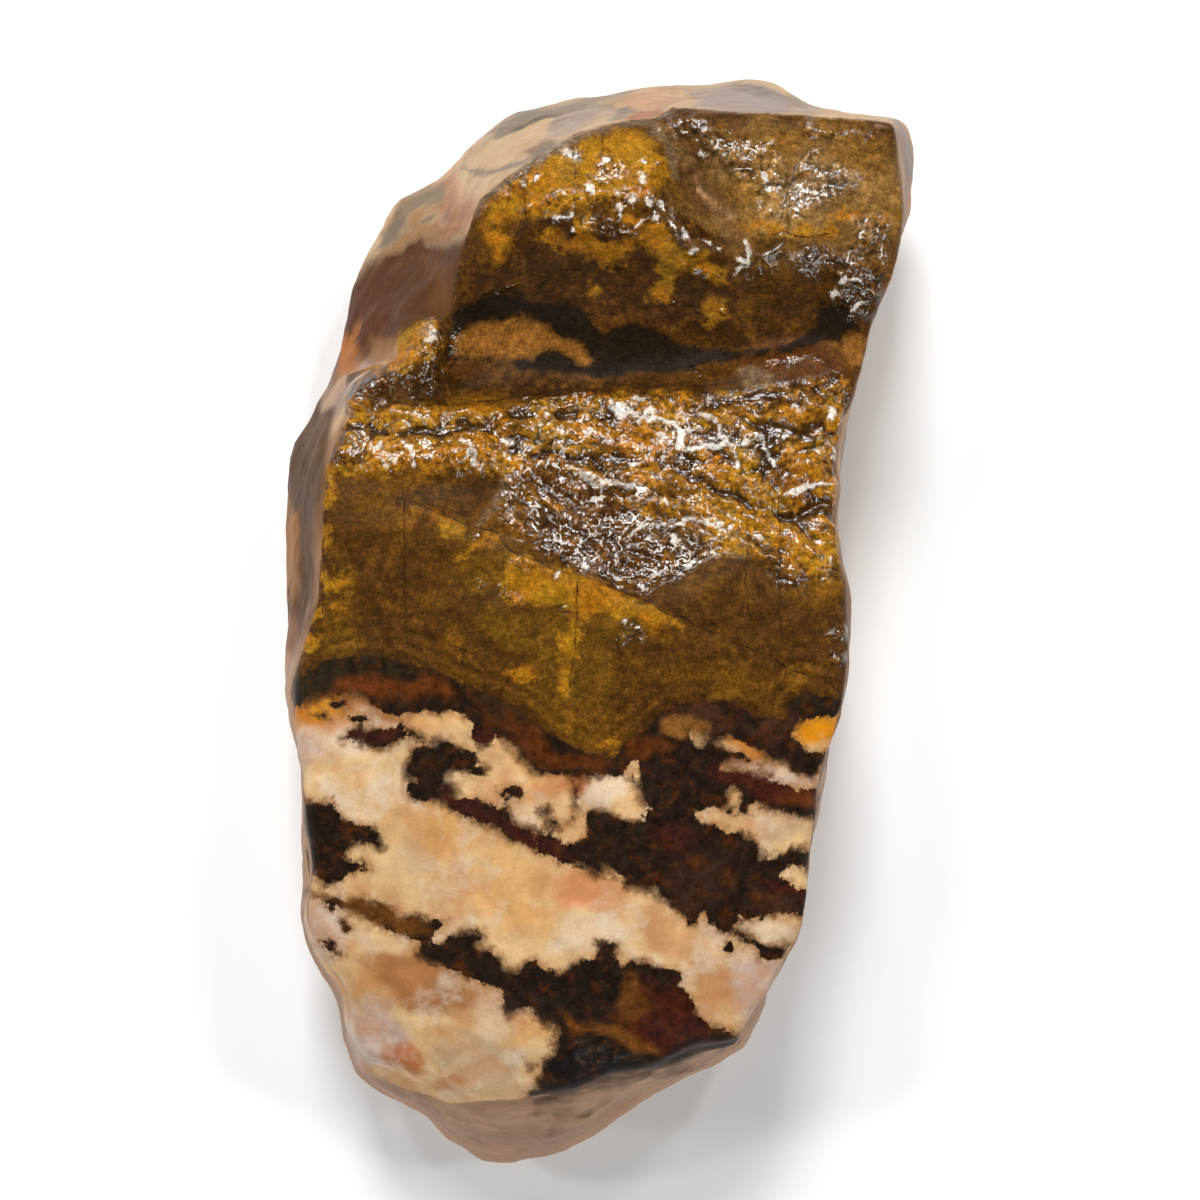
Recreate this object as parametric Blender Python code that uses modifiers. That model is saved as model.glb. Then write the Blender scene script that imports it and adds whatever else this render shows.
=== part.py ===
"""Rough polychrome jasper slab, a broken piece of banded rock that lies on its sawn back.

Run it with: blender --background --python part.py
+Z is up, out of the broken face. +Y runs to the end with the domed boss. The origin is on the sawn back,
under the middle of the rock's length and width.
The rock is one natural piece, so it is one solid. Lengths below are in millimetres unless a name says
otherwise, and MM turns them into the metres that Blender holds.
"""

import math

import bmesh
import bpy
import numpy as np
from mathutils import Vector, noise

MM = 0.001

# Driving sizes of the rock
FACE_LEVEL = 32.0  # the smooth part of the broken face above the sawn back
EYE_ABOVE_FACE = 260.0  # outlines were read looking straight down from here
SHOULDER_LEVEL = 14.0  # the relief of the face dies out at this level
SAW_ALLOWANCE = 3.0  # rock left below the back for the saw to take off
MIDDLE = (-0.15, -2.39, 0.0)  # middle of the rock's length and width, which becomes the origin

# Fineness of the solid
VOXEL = 0.8
SPOKES = 400
TRIANGLES = 9000
SHARP_OVER = 50.0  # degrees

# Rim of the broken face, clockwise from the top of the domed boss, as seen on the level of the face
RIM = [
    (5.5, 48.2), (7.2, 49.3), (12.5, 48.9), (20.0, 48.5), (29.5, 47.9), (30.2, 43.0), (30.5, 37.8),
    (29.7, 33.2), (27.3, 27.0), (26.0, 21.5), (24.7, 16.5), (24.5, 11.5), (23.8, 7.8), (24.8, 3.0),
    (25.3, -2.5), (25.0, -8.0), (23.7, -12.0), (22.7, -16.5), (22.2, -21.5), (21.2, -25.0),
    (20.9, -30.0), (20.0, -33.0), (17.8, -37.5), (15.2, -42.0), (14.1, -44.6), (10.0, -45.2),
    (5.5, -46.8), (1.0, -47.3), (-2.5, -48.9), (-8.0, -49.9), (-15.0, -50.4), (-19.5, -48.8),
    (-24.0, -47.0), (-25.5, -43.5), (-25.8, -40.0), (-28.2, -36.5), (-29.7, -32.5), (-29.3, -28.0),
    (-29.5, -21.0), (-30.3, -14.5), (-31.0, -9.0), (-30.0, -5.5), (-28.2, 0.0), (-27.8, 7.0),
    (-27.5, 13.0), (-25.5, 18.0), (-25.0, 21.5), (-20.0, 22.8), (-17.5, 27.0), (-15.0, 28.5),
    (-14.5, 33.0), (-12.2, 40.0), (-7.5, 43.7), (-2.5, 46.7), (3.0, 48.1),
]  # fmt: skip

# Widest outline of the sides, read the same way, with the level of each point above the back
GIRDLE = [
    (10.0, 51.6, 9), (16.2, 52.0, 9), (18.5, 50.8, 11), (20.2, 49.5, 14), (26.8, 48.3, 14),
    (30.5, 47.8, 14), (31.4, 44.5, 14), (31.0, 42.0, 14), (30.2, 37.5, 14), (28.2, 32.0, 13),
    (26.0, 26.0, 13), (24.0, 18.0, 13), (23.2, 10.0, 14), (24.2, 2.0, 14), (24.4, -5.0, 13),
    (23.0, -11.0, 12), (21.8, -18.0, 12), (20.5, -26.0, 12), (19.6, -32.0, 12), (17.0, -38.0, 11),
    (14.4, -44.8, 10), (10.0, -47.0, 9), (5.0, -50.0, 8), (0.0, -54.0, 8), (-4.0, -56.2, 8),
    (-9.2, -56.9, 8), (-13.0, -55.8, 9), (-16.2, -53.6, 9), (-17.4, -52.0, 10), (-20.5, -50.0, 11),
    (-24.6, -47.4, 13), (-26.0, -43.5, 14), (-26.2, -40.0, 14), (-28.4, -36.5, 14), (-29.9, -32.5, 14),
    (-29.6, -26.0, 13), (-29.8, -18.0, 13), (-31.0, -9.0, 13), (-31.5, -6.0, 12), (-31.5, 5.0, 12),
    (-31.5, 12.0, 12), (-31.0, 15.0, 12), (-30.0, 17.0, 12), (-28.5, 20.0, 12), (-26.5, 23.0, 12),
    (-25.7, 25.0, 12), (-25.0, 29.0, 11), (-24.0, 33.0, 10), (-22.2, 36.0, 10), (-20.0, 39.7, 10),
    (-16.0, 42.0, 9), (-14.3, 43.5, 9), (-11.0, 47.0, 9), (-9.0, 48.8, 9), (-5.0, 49.5, 9),
    (0.0, 50.2, 9), (4.0, 51.2, 9),
]  # fmt: skip

# Outline of the sawn back, true size on the back itself
BACK = [
    (8.0, 53.0), (16.5, 52.5), (27.0, 48.5), (31.0, 44.0), (30.0, 36.0), (27.0, 26.0), (23.5, 14.0),
    (24.0, 3.0), (23.0, -9.0), (21.0, -21.0), (18.5, -33.0), (13.0, -44.0), (5.0, -51.0),
    (-3.0, -57.5), (-11.0, -58.5), (-19.0, -53.0), (-25.0, -45.5), (-28.0, -36.0), (-29.0, -24.0),
    (-31.0, -11.0), (-32.0, 2.0), (-31.5, 13.0), (-28.0, 22.0), (-25.5, 31.0), (-21.0, 39.0),
    (-14.0, 46.0), (-6.0, 50.5),
]  # fmt: skip

# Heights of the broken face at spots on it, from the level of its smooth part
SMOOTH_FACE = [
    (-26.0, 10.0, -0.9), (-27.0, -4.0, -1.4), (-20.0, 4.0, -0.3), (-15.0, 0.0, 0.0), (-12.0, -10.0, -0.2),
    (-22.0, -6.0, -0.6), (-4.0, 1.0, 1.0), (5.0, -2.0, 0.9), (-8.0, -4.0, 0.5), (0.0, -10.0, -0.4),
    (1.2, -16.5, -1.3), (10.0, -5.0, 0.4), (18.0, -2.0, 0.1), (24.0, -4.0, -0.8), (12.0, -10.0, 0.2),
    (22.0, -10.0, -0.6), (24.5, 0.0, -1.0), (4.0, -10.0, -0.3), (-13.0, 7.5, -0.2), (-24.0, -9.0, -0.8),
]  # fmt: skip
PALE_END = [
    (-25.0, -14.0, -1.0), (-15.0, -14.0, -0.6), (-5.0, -19.0, -0.6), (5.0, -23.0, -0.4), (15.0, -18.0, -0.6),
    (21.0, -19.0, -1.5), (10.0, -28.0, -0.5), (19.0, -28.0, -1.6), (0.0, -30.0, -0.8), (-10.0, -25.0, -1.0),
    (-20.0, -25.0, -1.8), (-28.0, -25.0, -3.0), (-27.0, -33.0, -4.8), (-18.0, -33.0, -2.8),
    (-10.0, -36.0, -2.2), (0.0, -38.0, -1.7), (10.0, -38.0, -1.6), (16.0, -36.0, -2.7),
    (14.0, -43.0, -3.2), (5.0, -45.0, -3.1), (-4.0, -47.0, -4.2), (-12.0, -45.0, -4.6),
    (-20.0, -42.0, -5.8), (-24.0, -44.0, -8.5), (-16.0, -49.5, -7.5), (-21.0, -48.0, -9.0),
    (-7.0, -49.0, -5.8),
]  # fmt: skip
WET_SHELF = [
    (-25.5, 14.0, -1.8), (-20.0, 15.0, -1.4), (-13.0, 14.5, -1.3), (-8.0, 12.0, -1.9), (-4.0, 8.0, -1.5),
    (2.0, 3.0, -0.6), (8.0, 4.0, -0.8), (14.0, 6.0, -0.8), (22.0, 4.0, -0.9), (23.0, 10.0, -2.0),
    (16.0, 12.0, -2.0), (10.0, 15.0, -2.6), (4.0, 16.0, -3.0), (-4.0, 17.0, -3.2), (-12.0, 18.5, -3.4),
    (-20.0, 19.0, -3.0), (-25.0, 19.0, -3.0), (12.0, 20.0, -4.0), (20.0, 19.0, -3.2), (4.0, 20.5, -4.8),
    (-6.0, 20.5, -5.2), (-15.0, 20.5, -5.2), (-22.0, 20.5, -4.6), (24.0, 20.0, -3.6),
]  # fmt: skip
HOLLOW = [
    (-13.0, 22.0, -6.4), (-4.0, 22.5, -7.0), (4.0, 22.8, -7.2), (12.0, 25.0, -6.8), (18.0, 25.5, -5.7),
    (23.0, 24.0, -4.4), (26.0, 24.0, -4.8), (-12.0, 26.0, -7.0), (-4.0, 26.0, -7.5), (4.0, 25.5, -7.5),
    (10.0, 27.0, -7.0), (-10.0, 29.5, -6.6), (0.0, 29.0, -6.6), (20.0, 27.5, -5.8), (26.0, 27.0, -5.2),
    (-10.0, 33.0, -4.0), (-4.0, 34.0, -3.4), (2.0, 33.0, -3.9), (10.0, 32.0, -4.2), (16.0, 31.0, -4.6),
    (22.0, 31.0, -3.4),
]  # fmt: skip
BOSS = [
    (-11.0, 37.0, -2.4), (-6.0, 38.5, -0.7), (0.0, 39.5, 0.4), (6.0, 39.0, 0.3), (10.0, 35.5, -1.5),
    (-10.0, 40.0, -1.6), (-5.0, 43.0, -0.3), (0.0, 45.0, -0.6), (5.0, 44.0, -0.3), (4.0, 47.5, -2.2),
    (-2.0, 46.0, -1.9), (9.0, 43.0, -1.9), (11.5, 39.0, -2.3), (14.0, 35.0, -2.5),
]  # fmt: skip
FAR_LOBE = [
    (8.0, 47.0, -0.9), (15.0, 45.0, -0.3), (20.0, 42.0, -0.8), (25.0, 45.0, 0.3), (29.0, 46.0, -0.4),
    (20.0, 38.5, -0.2), (26.0, 38.0, 0.1), (29.5, 38.0, -0.9), (16.0, 36.0, -0.9), (22.0, 35.5, -0.8),
    (28.0, 32.0, -1.8), (25.0, 29.5, -3.2),
]  # fmt: skip
KNOB = [(-17.0, 25.5, -2.2), (-20.0, 22.0, -2.6), (-23.5, 21.5, -3.0), (-15.6, 24.5, -4.2), (-14.6, 27.0, -5.4)]
SPOTS = SMOOTH_FACE + PALE_END + WET_SHELF + HOLLOW + BOSS + FAR_LOBE + KNOB
SPOT_SOFTNESS = 1.5

# Ledges: the rock to the left of each line, going along it, stands proud by a height that dies out
SHELF_LIP = [(24.0, 26.0), (16.0, 24.6), (10.0, 22.6), (0.0, 21.2), (-10.0, 20.3), (-25.0, 20.0)]
PLANE_EDGE = [(8.5, 2.6), (4.0, 0.2), (-2.0, 2.2), (-6.0, 4.4), (-11.5, 6.6)]
SLAB_EDGE = [(-9.6, 8.0), (-10.4, 12.6), (-18.0, 12.4), (-27.0, 13.0)]
LOBE_LEDGE = [(28.5, 39.6), (23.0, 37.4), (19.0, 36.9), (15.0, 36.9)]
BOSS_LIP = [(12.5, 34.0), (9.0, 37.2), (4.0, 38.0), (-5.0, 37.6), (-11.0, 36.2)]
LEDGES = [  # line, height, reach
    (SHELF_LIP, 1.0, 5.0), (PLANE_EDGE, 0.9, 6.0), (SLAB_EDGE, -0.6, 4.0), (LOBE_LEDGE, 0.6, 5.0),
    (BOSS_LIP, 0.8, 5.0),
]  # fmt: skip
LEDGE_SOFTNESS = 0.5

# Grooves: line, half width, depth
BOSS_GROOVE = [(5.8, 47.6), (8.4, 44.6), (10.6, 41.0), (13.2, 37.0)]
KNOB_CREVICE = [(-14.6, 28.2), (-15.4, 25.2), (-14.6, 22.4)]
SHELF_CRACK = [(20.5, 17.0), (18.2, 10.5), (18.0, 5.0), (18.3, 0.8)]
SHELF_DIP = [(-9.0, 12.5), (-1.0, 9.0), (7.0, 7.6), (13.0, 6.2)]
GROOVES = [
    (BOSS_GROOVE, 1.9, 1.5), (KNOB_CREVICE, 0.9, 1.6), (SHELF_CRACK, 0.9, 0.7), (SHELF_DIP, 2.6, 0.7),
]  # fmt: skip

# Dents with flat sloping sides: outline, slope of the sides, depth
VALLEY = [
    (-14.5, 4.2), (-12.3, 0.8), (-10.0, -2.2), (-7.0, -6.0), (-3.8, -10.2), (1.2, -17.2), (2.2, -13.6),
    (4.2, -9.0), (5.4, -5.0), (7.2, -2.0), (4.0, -1.2), (0.0, 1.2), (-6.0, 3.4), (-10.0, 4.8),
]  # fmt: skip
FACE_DENTS = [(VALLEY, 0.26, 1.15)]

# Lumpy ground: centre, half sizes along X and Y, and how far its lumps stand up
LUMPY = [
    ((0.0, 14.0), (27.0, 6.5), 0.75), ((1.0, 7.0), (14.0, 6.0), 0.6), ((20.0, 8.0), (7.0, 9.0), 0.6),
    ((-2.0, 40.0), (11.0, 5.0), 0.5), ((18.0, 41.0), (10.0, 5.0), 0.45), ((22.0, 32.0), (8.0, 4.5), 0.7),
    ((-20.0, 21.5), (6.0, 3.5), 0.8),
]  # fmt: skip
LUMP_SIZE = 3.4

# Broken sides: planes that knocked corners off the lower half, as a point and the way it faces
FRACTURES = [
    ((32.6, 34.0, 6.0), (0.80, 0.20, -0.57)), ((23.5, -20.0, 7.0), (0.90, -0.25, -0.36)),
    ((6.0, -52.5, 6.0), (0.35, -0.80, -0.48)), ((-27.0, -44.0, 6.0), (-0.80, -0.45, -0.40)),
    ((-33.0, 0.0, 7.0), (-0.93, 0.0, -0.37)), ((-22.0, 40.5, 6.0), (-0.72, 0.55, -0.42)),
    ((8.0, 55.0, 7.0), (0.0, 0.88, -0.47)),
]  # fmt: skip
CHIP_SIZE = 11.0
CHIP_DEPTH = 1.3
GRAIN_SIZE = 4.0
GRAIN_DEPTH = 0.35

BROWN_JASPER = (0.155, 0.085, 0.022, 1.0)
WET_ROUGHNESS = 0.28


def clear_scene():
    for thing in list(bpy.data.objects):
        bpy.data.objects.remove(thing)


def new_collection(name):
    made = bpy.data.collections.new(name)
    bpy.context.scene.collection.children.link(made)
    return made


def from_eye(x, y, level):
    """The true place of a point at that level, which from the eye is seen at x, y on the level of the face."""
    spread = (EYE_ABOVE_FACE + FACE_LEVEL - level) / EYE_ABOVE_FACE
    return x * spread, y * spread, level


def ring(points):
    """A closed outline of (x, y, level) cut by evenly spaced spokes from the middle of the rock."""
    corners = np.array(points + points[:1])
    share = np.linspace(0, 1, 12, endpoint=False)[:, None]
    along = np.concatenate([a + (b - a) * share for a, b in zip(corners[:-1], corners[1:])])
    angle = np.arctan2(along[:, 1], along[:, 0])
    order = np.argsort(angle)
    turns = np.linspace(-math.pi, math.pi, SPOKES, endpoint=False)
    radius = np.hypot(along[:, 0], along[:, 1])[order]
    radius = np.interp(turns, angle[order], radius, period=2 * math.pi)
    level = np.interp(turns, angle[order], along[order, 2], period=2 * math.pi)
    return np.stack([radius * np.cos(turns), radius * np.sin(turns), level], 1)


def loft_rings():
    """Outlines from below the back up to the face."""
    rim = ring([from_eye(x, y, FACE_LEVEL) for x, y in RIM])
    girdle = ring([from_eye(*point) for point in GIRDLE])
    back = ring([(x, y, 0.0) for x, y in BACK])
    sunk = back * (1, 1, 0) - (0, 0, SAW_ALLOWANCE)
    belly = (girdle + back) / 2 * (1.01, 1.01, 1.0)
    neck = girdle * 0.4 + rim * 0.6
    return [sunk, back, belly, girdle, neck, rim]


def loft(rings):
    """A closed mesh through rings of equal length: a circle that is extruded and set on each ring in turn."""
    made = bmesh.new()
    bmesh.ops.create_circle(made, segments=SPOKES, radius=1.0)
    made.verts.ensure_lookup_table()
    edge_loop = list(made.verts)
    for vertex, place in zip(edge_loop, rings[0]):
        vertex.co = place
    floor = made.faces.new(list(reversed(edge_loop)))
    for outline in rings[1:]:
        extruded = bmesh.ops.extrude_vert_indiv(made, verts=edge_loop)
        above = extruded["verts"]
        for vertex, place in zip(above, outline):
            vertex.co = place
        for i in range(SPOKES):
            j = (i + 1) % SPOKES
            made.faces.new((edge_loop[i], edge_loop[j], above[j], above[i]))
        edge_loop = above
    made.faces.new(edge_loop)
    bmesh.ops.recalc_face_normals(made, faces=made.faces)
    floor.normal_update()
    return made


def break_off(made, point, facing):
    """Knocks off all that lies beyond a plane and closes the break."""
    everything = made.verts[:] + made.edges[:] + made.faces[:]
    cut = bmesh.ops.bisect_plane(made, geom=everything, plane_co=point, plane_no=facing, clear_outer=True)
    edges = [piece for piece in cut["geom_cut"] if isinstance(piece, bmesh.types.BMEdge)]
    bmesh.ops.holes_fill(made, edges=edges)


def spot_weights():
    """How much each spot lifts the face, so that it passes through all of them."""
    at = np.array(SPOTS)
    apart = np.hypot(*(at[:, None, :2] - at[None, :, :2]).transpose(2, 0, 1))
    return np.linalg.solve(np.hypot(apart, SPOT_SOFTNESS), at[:, 2])


def height_by_spots(x, y, weights):
    height = np.zeros_like(x)
    for (spot_x, spot_y, _), weight in zip(SPOTS, weights):
        height += weight * np.sqrt((x - spot_x) ** 2 + (y - spot_y) ** 2 + SPOT_SOFTNESS**2)
    return height


def beside(x, y, line):
    """Distance to a line, positive on its left, and 1 alongside it falling to 0 past its ends."""
    nearest = np.full_like(x, 1e9)
    signed = np.zeros_like(x)
    for (ax, ay), (bx, by) in zip(line[:-1], line[1:]):
        length = math.hypot(bx - ax, by - ay)
        ux, uy = (bx - ax) / length, (by - ay) / length
        share = np.clip(((x - ax) * ux + (y - ay) * uy) / length, 0, 1)
        away = np.hypot(x - ax - share * length * ux, y - ay - share * length * uy)
        side = np.where(ux * (y - ay) - uy * (x - ax) >= 0, 1.0, -1.0)
        signed = np.where(away < nearest, side * away, signed)
        nearest = np.minimum(away, nearest)
    ends = np.minimum(np.hypot(x - line[0][0], y - line[0][1]), np.hypot(x - line[-1][0], y - line[-1][1]))
    return signed, np.clip(ends / 3.0, 0.25, 1.0)


def ledge_height(x, y, line, height, reach):
    signed, alongside = beside(x, y, line)
    proud = 1 / (1 + np.exp(-signed / (0.35 * LEDGE_SOFTNESS)))
    return height * alongside * proud * np.exp(-np.abs(signed) / reach)


def groove_height(x, y, line, half_width, depth):
    signed, alongside = beside(x, y, line)
    return -depth * alongside * np.clip(1 - (signed / half_width) ** 2, 0, 1)


def dent_height(x, y, outline, slope, depth):
    away, _ = beside(x, y, outline + outline[:1])
    inside = np.zeros(x.shape, bool)
    for (ax, ay), (bx, by) in zip(outline, outline[1:] + outline[:1]):
        inside ^= ((ay > y) != (by > y)) & (x < ax + (y - ay) * (bx - ax) / (by - ay + 1e-9))
    return -np.minimum(np.abs(away) * slope, depth) * inside


def noise_at(points, size, kind=noise.noise):
    """Blender's noise at each point, with features of about that size."""
    return np.array([kind(Vector(point) / size) for point in points])


def lumps(x, y):
    """Rounded lumps with creases between them, on the lumpy ground only."""
    cover = np.zeros_like(x)
    for (middle_x, middle_y), (half_x, half_y), height in LUMPY:
        out = ((x - middle_x) / half_x) ** 2 + ((y - middle_y) / half_y) ** 2
        cover = np.maximum(cover, height * np.clip(1.5 - out, 0, 1))
    level = np.zeros_like(x)
    near = cover > 0
    points = np.stack([x[near], y[near], 0 * x[near]], 1)
    swirl = noise_at(points + 31.0, 2 * LUMP_SIZE)[:, None] * (1.8, 1.2, 0.0)
    cells = np.array([noise.voronoi(Vector(point) / LUMP_SIZE)[0][:2] for point in points + swirl])
    level[near] = np.clip(cells[:, 1] - cells[:, 0], 0, 0.6) / 0.6 - 0.4
    return cover * level


def face_relief(x, y):
    """Height of the broken face from its smooth level, at points seen from the eye."""
    height = height_by_spots(x, y, spot_weights())
    for line, proud, reach in LEDGES:
        height += ledge_height(x, y, line, proud, reach)
    for line, half_width, depth in GROOVES:
        height += groove_height(x, y, line, half_width, depth)
    for outline, slope, depth in FACE_DENTS:
        height += dent_height(x, y, outline, slope, depth)
    return height + lumps(x, y)


def carve(points, normals):
    """Gives the blank its relief, in millimetres: chips on the sides, then the broken face."""
    x, y, z = points.T.copy()
    sideways = np.clip(1.25 - np.abs(normals[:, 2]), 0, 1)
    grounded = np.clip(z / 3.0, 0, 1)
    cells = np.array([noise.voronoi(Vector(point) / CHIP_SIZE)[0][0] for point in points])
    chips = CHIP_DEPTH * (cells - 0.45) * sideways
    grain = GRAIN_DEPTH * noise_at(points, GRAIN_SIZE) * (0.4 + 0.6 * sideways)
    moved = points + normals * ((chips + grain) * grounded)[:, None]
    spread = EYE_ABOVE_FACE / (EYE_ABOVE_FACE + FACE_LEVEL - z)
    relief = face_relief(x * spread, y * spread)
    share = np.clip((z - SHOULDER_LEVEL) / (FACE_LEVEL - SHOULDER_LEVEL), 0, 1.1)
    moved[:, 2] += share * relief
    return moved


def stone_material():
    made = bpy.data.materials.new("brown_jasper")
    made.use_nodes = True
    surface = made.node_tree.nodes["Principled BSDF"]
    surface.inputs["Base Color"].default_value = BROWN_JASPER
    surface.inputs["Roughness"].default_value = WET_ROUGHNESS
    surface.inputs["Metallic"].default_value = 0.0
    made.diffuse_color = BROWN_JASPER
    return made


def make_blank(helpers):
    """The rock before its relief: lofted outlines with broken lower corners, in even small faces."""
    shape = loft(loft_rings())
    for point, facing in FRACTURES:
        break_off(shape, point, facing)
    bmesh.ops.scale(shape, vec=(MM, MM, MM), verts=shape.verts)
    mesh = bpy.data.meshes.new("blank")
    shape.to_mesh(mesh)
    shape.free()
    blank = bpy.data.objects.new("blank", mesh)
    helpers.objects.link(blank)
    blank.hide_render = True
    blank.display_type = "WIRE"
    voxels = blank.modifiers.new("even_faces", "REMESH")
    voxels.mode = "VOXEL"
    voxels.voxel_size = VOXEL * MM
    return blank


def make_slab(blank, parts):
    """The rock: the blank carved in small faces, sawn flat at the back, then thinned to fewer faces."""
    graph = bpy.context.evaluated_depsgraph_get()
    mesh = bpy.data.meshes.new_from_object(blank.evaluated_get(graph))
    mesh.name = "jasper_slab"
    count = len(mesh.vertices)
    points = np.empty(count * 3, np.float32)
    normals = np.empty(count * 3, np.float32)
    mesh.vertices.foreach_get("co", points)
    mesh.vertex_normals.foreach_get("vector", normals)
    carved = carve(points.reshape(-1, 3).astype(float) / MM, normals.reshape(-1, 3).astype(float))
    mesh.vertices.foreach_set("co", ((carved - MIDDLE) * MM).astype(np.float32).ravel())
    sawn = bmesh.new()
    sawn.from_mesh(mesh)
    break_off(sawn, (0, 0, 0), (0, 0, -1))
    bmesh.ops.triangulate(sawn, faces=sawn.faces)
    sawn.to_mesh(mesh)
    sawn.free()
    slab = bpy.data.objects.new("jasper_slab", mesh)
    parts.objects.link(slab)
    mesh.materials.append(stone_material())
    mesh.shade_smooth()
    mesh.set_sharp_from_angle(angle=math.radians(SHARP_OVER))
    thinned = slab.modifiers.new("fewer_faces", "DECIMATE")
    thinned.ratio = TRIANGLES / len(mesh.polygons)
    return slab


def main():
    clear_scene()
    helpers = new_collection("helpers")
    parts = new_collection("rough_jasper_slab")
    make_slab(make_blank(helpers), parts)


main()
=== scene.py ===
"""The look of a rough polychrome jasper slab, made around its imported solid.

The script works in the solid's own frame: +Z out of the broken face, +Y to the end with the domed boss.
Places on the rock are in millimetres until the mesh is written. Outlines of its markings are drawn as the
eye sees them from straight above, on the level of the smooth part of the face. An outline or a line is a
list of x and y in turn.
"""

import math

import bmesh
import bpy
import numpy as np
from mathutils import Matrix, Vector, noise


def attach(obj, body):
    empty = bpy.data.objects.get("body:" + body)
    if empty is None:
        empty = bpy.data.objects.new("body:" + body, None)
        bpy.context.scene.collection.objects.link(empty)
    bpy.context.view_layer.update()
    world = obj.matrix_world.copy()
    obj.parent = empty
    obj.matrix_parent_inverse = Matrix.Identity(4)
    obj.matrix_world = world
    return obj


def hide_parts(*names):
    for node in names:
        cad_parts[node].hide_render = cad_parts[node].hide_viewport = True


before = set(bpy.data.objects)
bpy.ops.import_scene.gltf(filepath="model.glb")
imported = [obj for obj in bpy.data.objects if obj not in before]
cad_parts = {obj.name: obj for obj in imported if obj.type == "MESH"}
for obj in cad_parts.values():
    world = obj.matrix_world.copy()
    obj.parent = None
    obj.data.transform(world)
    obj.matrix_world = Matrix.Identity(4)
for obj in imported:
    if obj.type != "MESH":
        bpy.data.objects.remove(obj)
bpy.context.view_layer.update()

# THE ROCK'S BODY
# One lump of quartz rock, broken all round by hammer and frost and sawn flat at the back. It grew in a
# seam as brown jasper over banded chalcedony, so it is a single stone with no parts fixed to it.

MM = 0.001
EYE = (0.15, 2.39, 292.0)  # straight above the face
FACE_LEVEL = 32.0
BODY_GRIT = 0.74  # faces of the sides and back
WEATHERING = 6  # rounds of smoothing
FINER_TILT = 0.3  # faces that look up more than this are cut finer, down to FACE_FOOT
FACE_FOOT = 15.0
FACE_TILT = 0.25  # the broken face ends where the surface looks up less than this
FACE_MIDDLE = 3.0  # radius of a spot that is surely on the broken face
FARTHEST = 1200  # more mesh edges than lie between that spot and any place on the face

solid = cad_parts["jasper_slab"]
welded = bmesh.new()
welded.from_mesh(solid.data)
bmesh.ops.remove_doubles(welded, verts=welded.verts, dist=0.001 * MM)
blank_mesh = bpy.data.meshes.new("blank")
welded.to_mesh(blank_mesh)
welded.free()
blank = bpy.data.objects.new("blank", blank_mesh)
bpy.context.scene.collection.objects.link(blank)


def worn(thing, rounds, grit=None):
    """The mesh of a thing, in faces of an even size if grit is given, after rounds of smoothing."""
    if grit:
        even = thing.modifiers.new("even_faces", "REMESH")
        even.mode = "VOXEL"
        even.voxel_size = grit * MM
    smooth = thing.modifiers.new("weathering", "SMOOTH")
    smooth.factor = 0.5
    smooth.iterations = rounds
    graph = bpy.context.evaluated_depsgraph_get()
    made = bpy.data.meshes.new_from_object(thing.evaluated_get(graph))
    thing.modifiers.clear()
    return made


def split_finer(mesh, wanted):
    """Cuts each face that is wanted into four."""
    split = bmesh.new()
    split.from_mesh(mesh)
    edges = {edge for face in split.faces if wanted(face) for edge in face.edges}
    bmesh.ops.subdivide_edges(split, edges=list(edges), cuts=1, use_grid_fill=True)
    split.to_mesh(mesh)
    split.free()


blank.data = worn(blank, WEATHERING, BODY_GRIT)
split_finer(
    blank.data,
    lambda face: face.normal.z > FINER_TILT and face.calc_center_median().z > FACE_FOOT * MM,
)
rock_mesh = worn(blank, 2)
rock_mesh.name = "jasper_rock"
bpy.data.objects.remove(blank)


def read(items, name, width=3):
    values = np.empty(len(items) * width, np.float32)
    items.foreach_get(name, values)
    return values.reshape(-1, width).astype(float)


points = read(rock_mesh.vertices, "co") / MM
normals = read(rock_mesh.vertex_normals, "vector")
shrink = (EYE[2] - FACE_LEVEL) / (EYE[2] - points[:, 2])
seen_x = (points[:, 0] - EYE[0]) * shrink
seen_y = (points[:, 1] - EYE[1]) * shrink


def beside(x, y, line, loop=False):
    """Distance to a line, positive on its left. For a loop it is positive inside."""
    corners = list(zip(line[::2], line[1::2]))
    if loop:
        corners.append(corners[0])
    nearest = np.full(x.shape, 1e9)
    signed = np.zeros(x.shape)
    inside = np.zeros(x.shape, bool)
    for (ax, ay), (bx, by) in zip(corners[:-1], corners[1:]):
        length = max(math.hypot(bx - ax, by - ay), 1e-6)
        ux, uy = (bx - ax) / length, (by - ay) / length
        share = np.clip(((x - ax) * ux + (y - ay) * uy) / length, 0, 1)
        away = np.hypot(x - ax - share * length * ux, y - ay - share * length * uy)
        side = np.where(ux * (y - ay) - uy * (x - ax) >= 0, 1.0, -1.0)
        signed = np.where(away < nearest, side * away, signed)
        nearest = np.minimum(away, nearest)
        inside ^= ((ay > y) != (by > y)) & (x < ax + (y - ay) * (bx - ax) / (by - ay + 1e-9))
    return np.where(inside, nearest, -nearest) if loop else signed


def within(x, y, outline):
    return beside(x, y, outline, loop=True)


def along(x, y, line, half_width):
    """Positive within half_width of a line."""
    return half_width - np.abs(beside(x, y, line))


def soft(values, low, high):
    share = np.clip((values - low) / (high - low), 0, 1)
    return share * share * (3 - 2 * share)


def grainy(places, size, octaves=3, kind=noise.fractal):
    """Blender's fractal noise at each place, with features of about that size in millimetres."""
    return np.array([kind(Vector(place), 1.0, 2.0, octaves) for place in places / size])


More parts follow.
